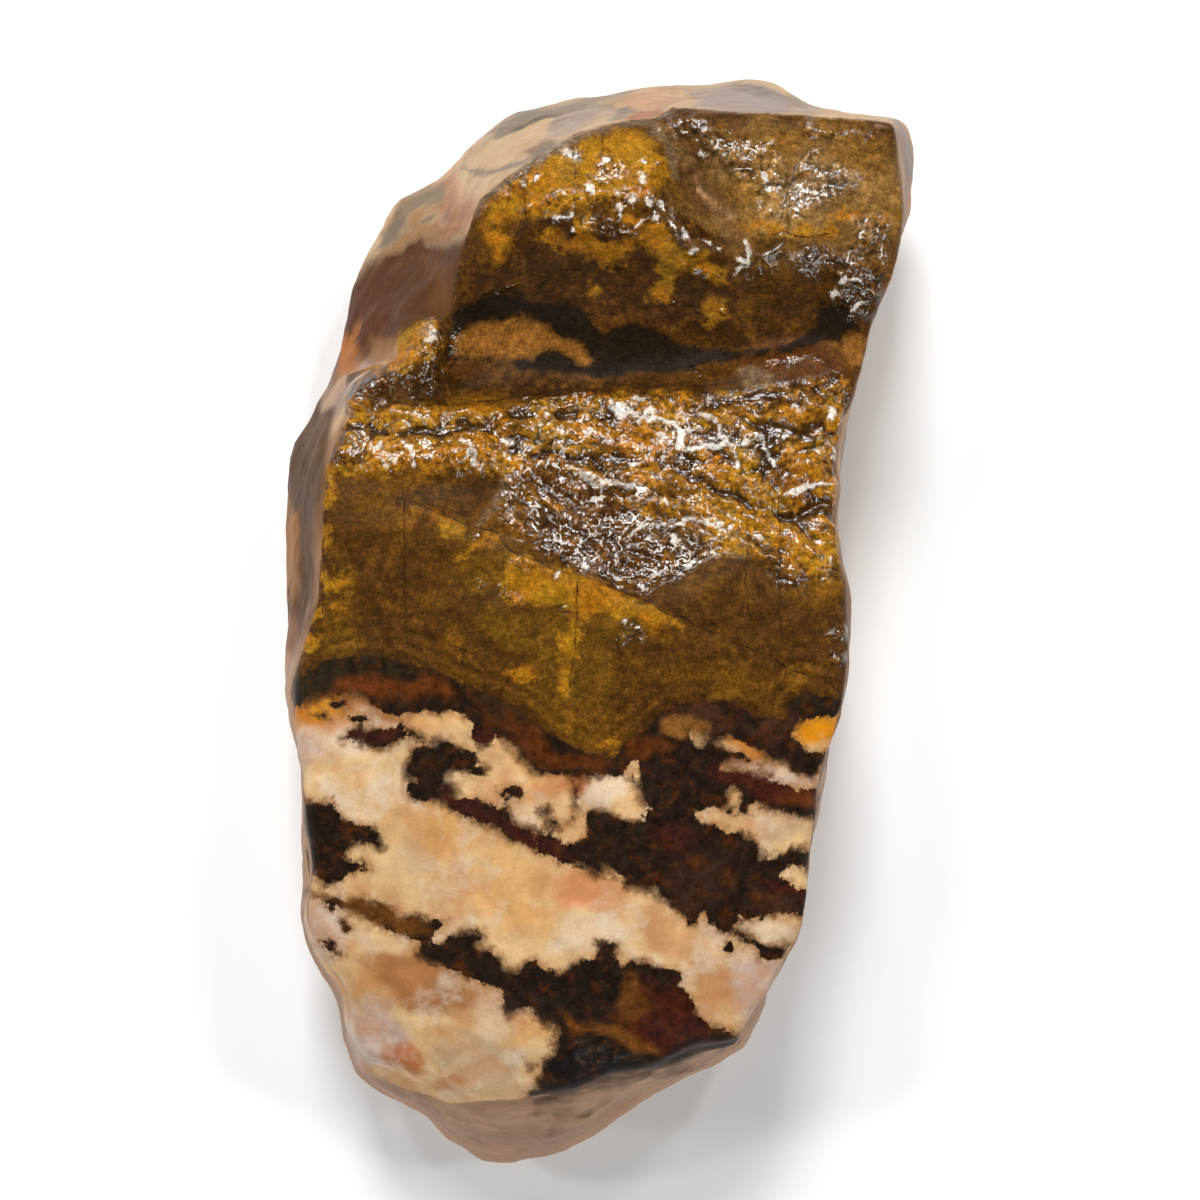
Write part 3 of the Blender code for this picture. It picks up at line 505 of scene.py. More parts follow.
MANGANESE_BAND = [
    -14.8, 29.4, -13, 29.8, -11.3, 30.4, -10, 30.8, -8.2, 30.8, -7.3, 30, -5, 29.7, -3, 30.2, -1.3, 28.7,
    -0.3, 27.3, 1.2, 27, 2.8, 28, 4.7, 27.4, 6.3, 26.4, 8.7, 25.5, 13, 25, 18, 25.4, 21, 26.8, 22, 29.6,
    25, 29.6, 25.8, 27, 24.5, 26.2, 20, 25, 17, 24.6, 13, 24, 10, 23.3, 7, 22.8, 4, 22.6, 0, 22.2, -4, 22.8,
    -8, 22.8, -8.8, 23.6, -15.4, 23.6, -14.8, 26,
]  # fmt: skip
TAN_LENS = [
    -14.6, 26.4, -13, 27.5, -12, 28, -10, 27.8, -9, 28.2, -7.7, 28.4, -6.3, 28, -5.2, 27.4, -4.3, 26.5,
    -3, 26.1, -1.8, 25.8, -1.4, 25, -1.2, 24.5, -0.6, 24, -1.3, 23.2, -2.3, 23.7, -3, 24.4, -4.3, 24.9,
    -5.5, 24.8, -6.7, 24.2, -7.5, 24.4, -8.5, 24, -10, 24.2, -14.8, 24.2,
]  # fmt: skip
LENS_FOOT = [-15.2, 24, -9, 24.2, -9.2, 21.6, -15, 21]
GOLD_PATCHES = [
    [-9.4, 4.6, -7.6, 4.6, -6, 3.6, -4.4, 3.2, -2.6, 2.8, 0, 1.6, 1.8, 0.8, 3, 0.4, 5.2, -0.6, 7.9, -2.3,
     6.8, -2.7, 5.2, -2.8, 4.6, -2, 2.6, -1.7, 1.6, -2, 0.8, -0.8, -0.8, -1.2, -1.6, -1.8, -2.5, -1.3,
     -4.8, -0.5, -7.2, -0.2, -8.8, -0.4, -10, 0.6, -9.7, 2],
    [-16.4, 8.6, -14.6, 8.1, -13.4, 7.4, -14, 6.6, -16, 6.8],
    [-14.2, 4.2, -13.4, 5, -11.2, 6.8, -10.5, 6.4, -11.6, 5.9, -13.4, 4.4],
    [-4.2, -4, -3.1, -3, -2.4, -2, -2, -3.6, -2.7, -5.4, -3.4, -5.8, -4.3, -5.4],
    [-3.7, -6.6, -2.8, -6.8, -2.8, -8, -3.2, -9.4, -3.9, -9, -3.8, -7.6],
    [-8.9, -7.2, -8, -6.7, -6.7, -6.7, -6.5, -7.6, -7.6, -8.2, -8.7, -7.9],
    [-1, -14, 1.2, -14, 2, -14.5, 0, -14.6], [10, 10, 14, 10.4, 18.5, 9.4, 18.6, 5.6, 14, 6.4, 12, 8],
    [18.8, 7, 24, 6.6, 24.2, 2.2, 20, 1.6, 18.8, 3], [-27, 2, -24.8, 2, -25, 0.8, -26.8, 0.9],
    [-26.5, -0.6, -25.4, -0.6, -25.8, -1.2],
    [-11.8, 37.4, -10.9, 39.6, -8.2, 42, -5, 44.2, -2, 45.8, 1.5, 46.8, 4.4, 46.6, 6.3, 44.8, 7, 42.6,
     5.6, 40.8, 3, 40.2, 0.5, 40.2, -1.4, 39.8, -3.2, 39, -5, 38.6, -8, 38.2],
    # under the boss
    [-11.4, 36.9, -8.9, 36.9, -9.1, 35.7, -9.6, 35, -9.8, 34, -10.3, 33.7, -10.8, 34.7, -11.2, 35.7],
    [-5.7, 36, -5, 37.1, -4, 36.3, -3.8, 35.6, -4.5, 35.2, -5.4, 35.6],
    [-3.5, 35.4, -3, 36, -2.2, 36.5, -2.3, 38, -1.5, 38.9, -0.9, 38, -1.2, 37.2, -0.3, 36.4, 0, 35.9,
     1.3, 35.8, 3, 35.9, 3.4, 35.1, 2.2, 34.8, 2.5, 34.2, 1.7, 33.5, 1.1, 33.3, 0.3, 33.7, -0.7, 34.6,
     -2.3, 34.8, -3.4, 34.9],
    [3.7, 36.7, 2.5, 38, 3, 38.4, 4.7, 37.9, 6.3, 37.5, 6.1, 36.9, 7, 36.4, 7.6, 35.3, 8.7, 35, 10.7, 34.7,
     11.1, 33.4, 12.6, 32.7, 12.6, 31.9, 11.7, 31.7, 10.3, 32.7, 8.7, 33, 7.4, 32.6, 6.2, 32.4, 5.6, 33.2,
     5.8, 34.3, 4, 35.7],
    [4.6, 30.8, 5.7, 31.8, 7, 32.3, 7.6, 31.3, 7, 30.2, 5.7, 30, 4.4, 30.2],
    [-1.1, 30.7, -0.7, 31.3, -0.1, 31.1, -0.3, 30.5],
    [10.2, 29.7, 11.2, 30.1, 12.4, 29.7, 12.4, 28.7, 11.7, 28.2, 11, 27.6, 10.6, 28.3],
    [-26, 23.6, -20, 26.8, -16.5, 28, -16.2, 25, -20, 22.6],
]  # fmt: skip


def union(fields):
    return np.maximum.reduce(list(fields))


manganese = within(seen_x, seen_y, MANGANESE_BAND)
manganese = np.minimum(manganese, -union(within(seen_x, seen_y, patch) for patch in (TAN_LENS, LENS_FOOT)))
gold = union(within(seen_x, seen_y, patch) for patch in GOLD_PATCHES)
MOTTLED_WITH_GOLD = [  # outline, how much of it is gold
    ([-25.5, 19.6, -16, 19.2, -6, 19.6, 2, 20.4, 2, 15, -10, 12.6, -26.5, 12.8], 0.58),
    ([2, 20.6, 16, 20.6, 24.5, 22.4, 24.2, 3, 12, 5, 4, 11, 0, 15], 0.52),
    ([-31, 12, -28, 16, -26.6, 12, -27.4, 0, -29, -6, -31, -4], 0.32),
    ([14.6, 37.9, 18.2, 37.7, 20.7, 37.4, 22.3, 37.1, 23.2, 37.8, 24.8, 39, 27.3, 39.1, 29.8, 38.6,
     29.8, 37.6, 27.3, 38.2, 24.8, 38.2, 23.2, 36.8, 22.3, 36.2, 20.7, 36.6, 14.6, 37], 0.55),
]  # fmt: skip
blotches = 0.5 + 0.9 * grainy(bedded(points, 0.6) + 17.0, 1.9, 4)
for outline, amount in MOTTLED_WITH_GOLD:
    gold = np.maximum(gold, np.minimum(within(seen_x, seen_y, outline), 3.0 * (blotches - 1.0 + amount)))
gold = np.maximum(gold, 2.5 * shelf_share * (ridge_lift - 0.3) - 1.0 + shelf_share)
in_lens = soft(within(seen_x, seen_y, TAN_LENS), -0.3, 0.5)[:, None]
jasper_tint = jasper_tint * (1 - in_lens) + TAN * in_lens

# THE CHALCEDONY END
# Pale banded quartz, cloudy as wax, with black and rust-red branching stains that crept in along old
# cracks. A dark seam of iron and manganese divides it from the jasper.

JASPER_EDGE = [
    -40, -6.8, -31.7, -6.8, -30, -7.6, -28.8, -6.8, -27.5, -6, -25, -5.5, -22, -5.5, -19.5, -6.1, -17, -6.8,
    -15, -7.7, -12.5, -8.8, -10, -9.7, -7.5, -11.2, -5.5, -12.8, -3.5, -14.2, -1, -15.2, 1.2, -15.6,
    2.2, -14.8, 3.2, -13.8, 4.5, -12.8, 6, -11.2, 7.5, -10.3, 10, -10, 12.5, -10, 14.5, -10.6, 15.5, -11.6,
    17.5, -12.2, 18.5, -11.8, 19, -10, 20, -9, 22, -9.6, 40, -10.4,
]  # fmt: skip
PALE_GROUND = [
    -40, -11.2, -30.7, -11.2, -29.5, -10.4, -27.8, -9.7, -25.5, -9.4, -23.5, -9.7, -22.6, -10.6,
    -21.2, -11.4, -20.2, -11.7, -19.5, -11.2, -18, -11.3, -16, -11.3, -14.5, -11.1, -13.5, -11.6,
    -12.7, -12.5, -13, -13.3, -12.6, -14.5, -11.6, -14.7, -10.8, -14.2, -10.5, -13.5, -9.5, -14,
    -8.7, -14.9, -8.2, -15.8, -7.3, -16.7, -6.3, -17.5, -4, -17.6, -2.2, -18, -0.2, -17.7, 2.2, -17.5,
    2.8, -16.8, 3.3, -15.8, 3.9, -16.6, 4, -20, 10, -25, 20, -28, 40, -28, 40, -70, -40, -70,
]  # fmt: skip
BRANCHING_STAINS = [
    # the great patch on the right
    [3.9, -16.4, 4.6, -15.4, 6, -14.5, 26, -14.5, 26, -30, 21.2, -30.5, 20.6, -32.5, 20, -31.7, 19, -31.5,
     17.5, -31.5, 16, -31.8, 14.8, -32, 13.8, -31.7, 13.5, -32.5, 14.5, -33.2, 15.5, -34, 16.5, -34.5,
     17.5, -34.3, 18.7, -34.5, 18.4, -35.9, 17, -36.1, 15.8, -35.7, 16, -35, 15.2, -34.6, 14.2, -34.1,
     13.3, -33.5, 12.2, -33.2, 11.8, -32.6, 10.9, -32.4, 10.5, -31.2, 10.1, -31.5, 9.7, -32.5, 8.5, -32.3,
     7.6, -31.5, 6.8, -30.5, 5.7, -29.7, 5.2, -29.3, 4, -29, 2.4, -28.7, 2.2, -28, 1.2, -27.4, 0, -26.8,
     -2.5, -25.3, -3, -24.4, -2, -24, -1.2, -23.5, -1.4, -21.8, -1, -20.8, 0, -20.8, 1.3, -21.2, 2.5, -22,
     4.3, -22, 5, -21.2, 5.7, -20.2, 4.8, -19.7, 3.8, -19.2, 3.2, -18],
    # beside the patch above the diagonal vein
    [-16.6, -14, -15, -13.9, -13.8, -14.8, -12.4, -15.2, -12, -16.6, -12.9, -17.6, -13.9, -16.9,
     -14.9, -17.3, -15.6, -16.3, -16.6, -16.2],
    # under the seam on the left
    [-26, -13.8, -25, -13, -24.2, -12.5, -23, -12.7, -21.5, -13, -20, -12.8, -19.2, -13.3, -19.8, -14,
     -20.5, -14.2, -21.2, -14.8, -23, -14.8, -24.2, -14.2, -25.5, -14.1],
    [-19.7, -17, -19.5, -16.2, -18.8, -15.5, -18.8, -14.8, -16.8, -14, -16, -14.3, -14.8, -14.5,
     -14.5, -15.2, -13.5, -15.8, -12.5, -16.5, -11.3, -16.8, -11.5, -17.5, -12.5, -17.6, -13.8, -17.2,
     -14.8, -17, -15.3, -17.8, -14.5, -18.5, -14, -19.2, -13.8, -20, -15, -20, -16, -19.3, -17.5, -19.5,
     -18.2, -19, -18.4, -18, -19.5, -17.7],
    # flecks in the amber
    [-28.9, -11.5, -27.9, -11.3, -27, -11.9, -28, -11.9],
    [-26.8, -10.3, -25.4, -10.2, -25.1, -10.7, -26.2, -10.8],
    [-25.4, -11.7, -23.6, -11.6, -22.8, -12.3, -24.6, -12.1],
    # the patch on the left rim
    [-32, -20.2, -29, -20, -27, -20.3, -26.2, -21, -25.2, -22.2, -23.8, -22.6, -22.5, -22.8, -21.8, -23.8,
     -21.6, -24.8, -22.2, -25, -23.2, -24.5, -24.2, -24.3, -25.2, -24.8, -25.5, -25.5, -24.5, -26.2,
     -23.5, -26, -23, -26.6, -23.5, -27.2, -24.8, -27.2, -25.5, -27.8, -26.5, -28.5, -27.8, -28.5,
     -28.8, -27.6, -29.2, -26, -32, -25],
    # the lower band
    [-32, -28.6, -29.7, -28.8, -27, -29.7, -25.5, -30, -24, -29.8, -22, -30.2, -20.5, -31, -20, -31.5,
     -18.5, -31.5, -17.5, -32, -16.5, -31.8, -15.5, -32.2, -16.2, -33, -16.8, -34, -16, -34.5, -14.8, -33.5,
     -13.5, -32.8, -12, -33.2, -11.5, -33.8, -12.2, -34.8, -11, -35, -10, -35.8, -9.7, -36.8, -8.5, -37,
     -7.5, -36.2, -6.3, -36, -6, -36.8, -5, -37.2, -3.5, -37, -3, -36.5, -1.5, -36, -0.5, -35.8, -0.3, -35,
     -0.5, -34.2, 0.5, -34, 1.8, -34.2, 1.6, -35, 1.8, -36, 2.2, -36.8, 3.2, -36.2, 4.5, -36.3, 6, -36.8,
     8.3, -37, 8, -38.5, 9, -39.5, 9.2, -40.5, 10, -41.8, 11.5, -42.5, 14, -43.5, 14.4, -44.4, 12, -45.5,
     6, -48, -2, -52, -7.6, -52, -7.3, -50, -7, -49.2, -6.2, -48.5, -6, -47.5, -5.7, -46.5, -5, -45.5,
     -4.8, -44, -4, -43.3, -4.2, -43, -5.5, -42.8, -6.2, -42, -7, -40.8, -8, -41, -9.2, -41.7, -9.7, -41,
     -9.6, -39.8, -10, -38.8, -11.5, -38.5, -13, -37.8, -15, -37, -17, -36.5, -18.2, -35.5, -18.2, -34.2,
     -20, -33.5, -23, -32.5, -25, -31.2, -27, -30.4, -29.7, -29.3, -32, -29.2],
    # specks
    [-10.1, -19.1, -9.5, -18.7, -8.5, -18.6, -7.9, -19, -8.1, -19.6, -9.2, -19.5, -9.8, -19.7],
    [-6, -21, -5.2, -20.8, -4.8, -21.8, -4.2, -22.2, -4, -23, -5, -23.6, -5.5, -22.8],
    [-27.7, -34.3, -27, -34.3, -25.8, -35.2, -26.2, -35.5, -27.2, -35.3],
    [-27.3, -30.5, -26.5, -30.5, -26.6, -31.2, -27.1, -31.2],
    [-26, -31.8, -25.3, -32, -24.8, -33, -25.3, -33.2, -25.8, -32.6],
    [12.2, -34.8, 13, -34.3, 13.5, -35, 12.8, -35.4], [-9.8, -20.3, -9, -20.5, -9.2, -21.5, -10, -21.5],
    [-7.4, -46.4, -6.4, -46.6, -6.5, -47.2, -7.3, -47.3],
]  # fmt: skip
DARK_VEINS = [  # line, half width
    ([-18.5, -19, -16, -19.5, -14.5, -20.3, -12.5, -21, -11, -21.5], 0.9),
    ([-11.5, -21.4, -9.5, -22.3, -8.5, -23.2, -7, -23.5], 0.95),
    ([-7.5, -23.4, -5.5, -24.5, -4, -25, -2, -25.8, -0.3, -26.8], 1),
    ([-20, -12.7, -19, -13.3, -17.5, -14.2, -16, -14.2], 0.3),
    ([-2.9, -18.2, -2.3, -19.2, -2.2, -20.3, -2.5, -21.2, -2.8, -22], 0.22),
]  # fmt: skip
PALE_ISLANDS = [
    [9.8, -21.2, 10.5, -20.8, 11.5, -20.8, 12.5, -21.3, 13.8, -21.5, 14.8, -21.3, 15, -20.5, 15.7, -20.2,
     16.4, -20.8, 17, -21.2, 18.5, -21.2, 20, -21.8, 21.2, -21.8, 23, -22.5, 23, -24, 21, -25, 19.5, -24.8,
     18, -25.2, 16.8, -25.8, 16, -25, 15.2, -23.8, 14.5, -23, 13.5, -23.3, 12.2, -22.8, 10.5, -22.5,
     9.8, -22],
    [18.5, -26.8, 19.5, -26.5, 20.5, -27, 23, -27.5, 23, -29.2, 20.8, -29, 19.7, -28.7, 18.8, -28,
     17.8, -27.6],
    [12.8, -19.3, 13.3, -18.8, 13.9, -19.5, 14, -20.2, 13.5, -21.2, 12.7, -20.8, 13, -20],
    [13.5, -32.2, 14.5, -31.8, 15.7, -32.1, 17, -31.6, 19, -31.5, 20.5, -31.8, 19.9, -33, 19, -33.8,
     18, -34.4, 16.8, -34.4, 15.7, -33.8, 14.5, -33],
    [12.2, -16.8, 13.5, -16, 15, -16.2, 16, -16.5, 16.8, -16, 17.5, -16.2, 18.5, -16.5, 19.2, -17.2,
     20.3, -17.5, 21.2, -18, 21.8, -17.5, 22.2, -16.5, 24.5, -15.8, 24.5, -19, 22.6, -18.9, 20, -19,
     18, -18.3, 17, -17.5, 15.5, -17.2, 13.5, -16.8],
    [12, -14.4, 12.8, -13.8, 13.8, -14, 15, -14.8, 16.5, -15.5, 17, -16.5, 15.8, -16.4, 14.5, -15.5,
     13, -14.8],
    [20, -12.3, 21.2, -11.8, 25.5, -11.3, 25, -14.8, 22, -15.5, 20.8, -15, 19.8, -14, 19.5, -13],
    [9.2, -13.6, 10.2, -13.9, 10, -14.5, 9.4, -14.3], [3.1, -15.9, 3.8, -16, 4, -18, 3.4, -18.5],
]  # fmt: skip

jasper = beside(seen_x, seen_y, JASPER_EDGE)
dark = union([within(seen_x, seen_y, patch) for patch in BRANCHING_STAINS]
             + [along(seen_x, seen_y, line, half) for line, half in DARK_VEINS])
pale = np.minimum(within(seen_x, seen_y, PALE_GROUND), -dark)
pale = np.maximum(pale, union(within(seen_x, seen_y, patch) for patch in PALE_ISLANDS))

CREAM = colour("#cda97a")
MILKY = colour("#d4c3ad")
SHELL_WHITE = colour("#b39d92")
HONEY = colour("#cb9856")
PEACH = colour("#b07849")
SALMON = colour("#c87c52")
RUSTY_ORANGE = colour("#a5592a")
AMBER_GLOW = colour("#b76c0c")
COOL_GREY = colour("#9c8a74")
SEPIA = colour("#1f150e")
PITCH = colour("#130e0b")
MAROON = colour("#3a1812")
RUST_RED = colour("#3a170b")
RUST_GOLD = colour("#6c4012")
SEAM_BLACK = colour("#261d10")
PLUM_BROWN = colour("#3c2519")
CLEAR_AMBER = colour("#cf8a1c")
RIM_AMBER = colour("#cf8410")
WAX_TAN = colour("#b58450")
TEA_BROWN = colour("#95623a")
RUSTY_TAN = colour("#8a5a30")

PALE_STAINS = [  # x, y, half length, half width, colour, strength, and turn if it has one
    (-27, -14, 4, 3, MILKY, 0.6), (-29.5, -15.3, 1.5, 1.5, SHELL_WHITE, 0.7),
    (-26.6, -11.6, 4.2, 2.3, AMBER_GLOW, 1, 5), (-22, -11.4, 3, 1.7, RUST_GOLD, 0.9, -15),
    (-28.4, -10.8, 1.8, 1, CLEAR_AMBER, 0.7, 10), (-24.8, -12.6, 2, 0.8, HONEY, 0.5, -20),
    (-29, -12, 1.2, 1.2, AMBER_GLOW, 0.8), (-20, -15, 2, 1.2, COOL_GREY, 0.5),
    (-17, -12, 4, 1.1, HONEY, 0.45), (-6, -16.5, 3, 2, HONEY, 0.5, -30),
    (-4, -19, 3.6, 1.6, PEACH, 0.85, -8), (-3, -19.2, 1.4, 0.9, RUSTY_ORANGE, 0.55),
    (0.5, -19.2, 2.6, 1.6, MILKY, 0.6), (-9, -19.6, 3, 1.8, PEACH, 0.4),
    (-24, -17.5, 5, 2.5, CREAM, 0.5, -15), (-17.5, -22, 7, 3.4, WAX_TAN, 0.45, -20),
    (-15.5, -23, 2.5, 2.4, HONEY, 0.65, 70), (-19, -26, 2.5, 2.5, COOL_GREY, 0.3),
    (-9, -28.5, 4.5, 4.5, HONEY, 0.55), (-7, -31.5, 4, 2, HONEY, 0.4),
    (-1.5, -28.5, 3, 2.2, SALMON, 0.75, -10), (1.5, -29.5, 2.2, 2, PEACH, 0.6),
    (6.5, -33.5, 5, 2.5, PEACH, 0.55, -15), (-2, -33, 4, 2, MILKY, 0.35), (11, -38, 3, 3, PEACH, 0.7),
    (15.5, -39, 2.8, 4.5, SHELL_WHITE, 0.9, -20), (12, -32.8, 2, 1.8, SHELL_WHITE, 0.5),
    (-28, -33, 3, 3.5, SHELL_WHITE, 0.7), (-22, -38, 4.5, 2.5, PEACH, 0.6, -10),
    (-22, -38.4, 2.4, 1.6, HONEY, 0.6), (-17, -38.4, 7, 2.8, TEA_BROWN, 0.95, -15),
    (-22.5, -43.5, 3.6, 4, SHELL_WHITE, 0.85), (-19.5, -45.8, 2.6, 1.7, RUSTY_ORANGE, 0.85, -20),
    (-12, -46, 4.5, 3.6, COOL_GREY, 0.55), (-7.5, -43, 3, 1.3, HONEY, 0.6),
    (-10, -41.5, 3.5, 2, MILKY, 0.3), (-15.2, -48.3, 1.2, 0.9, RUSTY_ORANGE, 0.5),
    (18, -22.5, 4, 1.8, COOL_GREY, 0.35, -10), (17, -32.8, 3, 1.2, MILKY, 0.5),
    (22, -13.5, 3, 2, RIM_AMBER, 1), (24, -15, 1.2, 0.8, MILKY, 0.6),
    (14.5, -15, 3, 1.2, AMBER_GLOW, 0.9, -30), (18.5, -17.6, 5, 0.9, SHELL_WHITE, 0.7, -12),
    (-29.6, -10.8, 2.8, 2.6, AMBER_GLOW, 1), (-25.4, -10.4, 4.4, 1.6, RUST_GOLD, 0.9, -12),
    (-27.8, -11.6, 1.8, 0.9, CLEAR_AMBER, 0.9), (-24.4, -44.6, 2, 3, SHELL_WHITE, 0.9, -20),
]  # fmt: skip
DARK_STAINS = [  # x, y, half length, half width, colour, strength, and turn if it has one
    (-24, -7, 8, 1.5, SEAM_BLACK, 0.9), (-24, -8.9, 4, 1.1, RUST_BROWN, 0.95, 5),
    (-17.5, -9.2, 3.2, 1.2, RUST_BROWN, 0.95, -8), (-29, -8.5, 2, 2, SEAM_BLACK, 0.8),
    (-9, -12, 5, 1, RUST_BROWN, 0.6, -30), (-4, -15.6, 5, 1.2, RUST_BROWN, 0.7, -15),
    (-10.5, -10.6, 5, 0.9, SEAM_BLACK, 0.8, -30), (4, -15, 1.6, 1.6, RUST_BROWN, 0.7),
    (10, -12, 4.5, 1.8, PLUM_BROWN, 0.9), (8.5, -12.6, 2.2, 1, TAN, 0.6),
    (6, -14.6, 1.6, 1, RUST_BROWN, 0.6), (17.5, -13, 3, 1.4, PLUM_BROWN, 0.7),
    (21.5, -10.8, 2.5, 1.2, SEAM_BLACK, 0.8), (18, -18.6, 6.5, 1.5, MAROON, 1, -12),
    (20.8, -20.2, 2.2, 0.9, RUST_BROWN, 0.8, -15), (7.5, -24, 3, 1.2, MAROON, 0.5, -10),
    (18.8, -28.6, 2.6, 0.6, MAROON, 1, -28), (17, -30, 3, 1.4, PLUM_BROWN, 0.7, -10),
    (5, -18, 3, 2, SEPIA, 0.5), (10, -28, 4, 2.5, PLUM_BROWN, 0.4), (-22, -13.6, 2.6, 0.8, MAROON, 0.6),
    (-11.5, -13.8, 1, 1.2, MAROON, 0.7), (-13, -21, 4, 1.2, MAROON, 0.5, -22),
    (-7, -23.8, 4, 1, MAROON, 0.6, -24), (-3, -19.8, 1.2, 2, RUST_RED, 0.9),
    (-22.5, -31.5, 6, 1.2, RUST_GOLD, 0.55, -18), (-29, -29.2, 3, 0.7, RUST_GOLD, 0.8, -18),
    (5.5, -41, 3.8, 3.4, RUST_RED, 0.95), (3, -39.5, 1.8, 2.4, RUST_GOLD, 0.55),
    (2.5, -43.6, 4.5, 1.3, RUST_GOLD, 0.75, -24), (-2, -42.5, 2.4, 0.5, RUST_GOLD, 0.7, -24),
    (8, -43, 3, 2, MAROON, 0.7), (-2, -46.6, 4.5, 2.6, PITCH, 0.95, 12), (6, -46, 3, 0.9, PITCH, 0.9, 12),
    (-4, -38.5, 4, 2, PITCH, 0.5), (0.5, -37, 1.2, 3, PITCH, 0.5),
]  # fmt: skip
pale_tint = stained(CREAM, PALE_STAINS)
dark_tint = stained(SEPIA, DARK_STAINS)

# THE SIDES AND THE SAWN BACK
# Below its brown crust the seam is layered like an agate, in cream, peach and smoke-grey bands that run
# round the rock. The saw cut the back flat and left faint straight marks across it.

# the pale end's sides: their pink, darkened with painted shade and tinged by a painted pink reflection
PINK_WALL_SHADED = colour("#a07c6c")
WALL_CREAM = colour("#b59a78")
WALL_WHITE = colour("#8f817a")
WALL_PEACH = colour("#b0896c")
WALL_SALMON = colour("#9a6a50")
WALL_GREY = colour("#7c7064")
WALL_SMOKE = colour("#665a4e")
WALL_BROWN = colour("#4a2f18")
WALL_TAN = colour("#835a34")
WALL_RED = colour("#502a14")
WALL_UMBER = colour("#48270f")
WALL_OCHRE = colour("#a8662e")
WALL_HONEY = colour("#a06e3c")
BAND_ORDER = [
    WALL_BROWN, WALL_TAN, WALL_CREAM, WALL_WHITE, WALL_PEACH, WALL_CREAM, WALL_GREY, WALL_CREAM, WALL_PEACH,
    WALL_SMOKE, WALL_WHITE, WALL_TAN, WALL_PEACH, WALL_CREAM,
]  # fmt: skip
BAND_PITCH = 3.2
CRUST = 2.0
PEACH_CAST = 0.28  # how much of one colour all the bands share

wavy = 3.4 * grainy(points + 211.0, 26.0, 3)
wavy += 1.6 * grainy(points + 251.0, 7.0, 4)
wavy += 0.8 * grainy(points + 271.0, 1.8, 3)
below_crust = FACE_LEVEL - CRUST - points[:, 2]
layer = (below_crust + wavy - 0.03 * points[:, 0] + 0.06 * points[:, 1]) / BAND_PITCH
layer = np.clip(layer, 0, len(BAND_ORDER) - 1.001)
lower = layer.astype(int)
share = soft(layer - lower, 0.1, 0.9)[:, None]
bands = np.array(BAND_ORDER)
side_tint = bands[lower] * (1 - share) + bands[lower + 1] * share
side_tint = (1 - PEACH_CAST) * side_tint + PEACH_CAST * WALL_PEACH

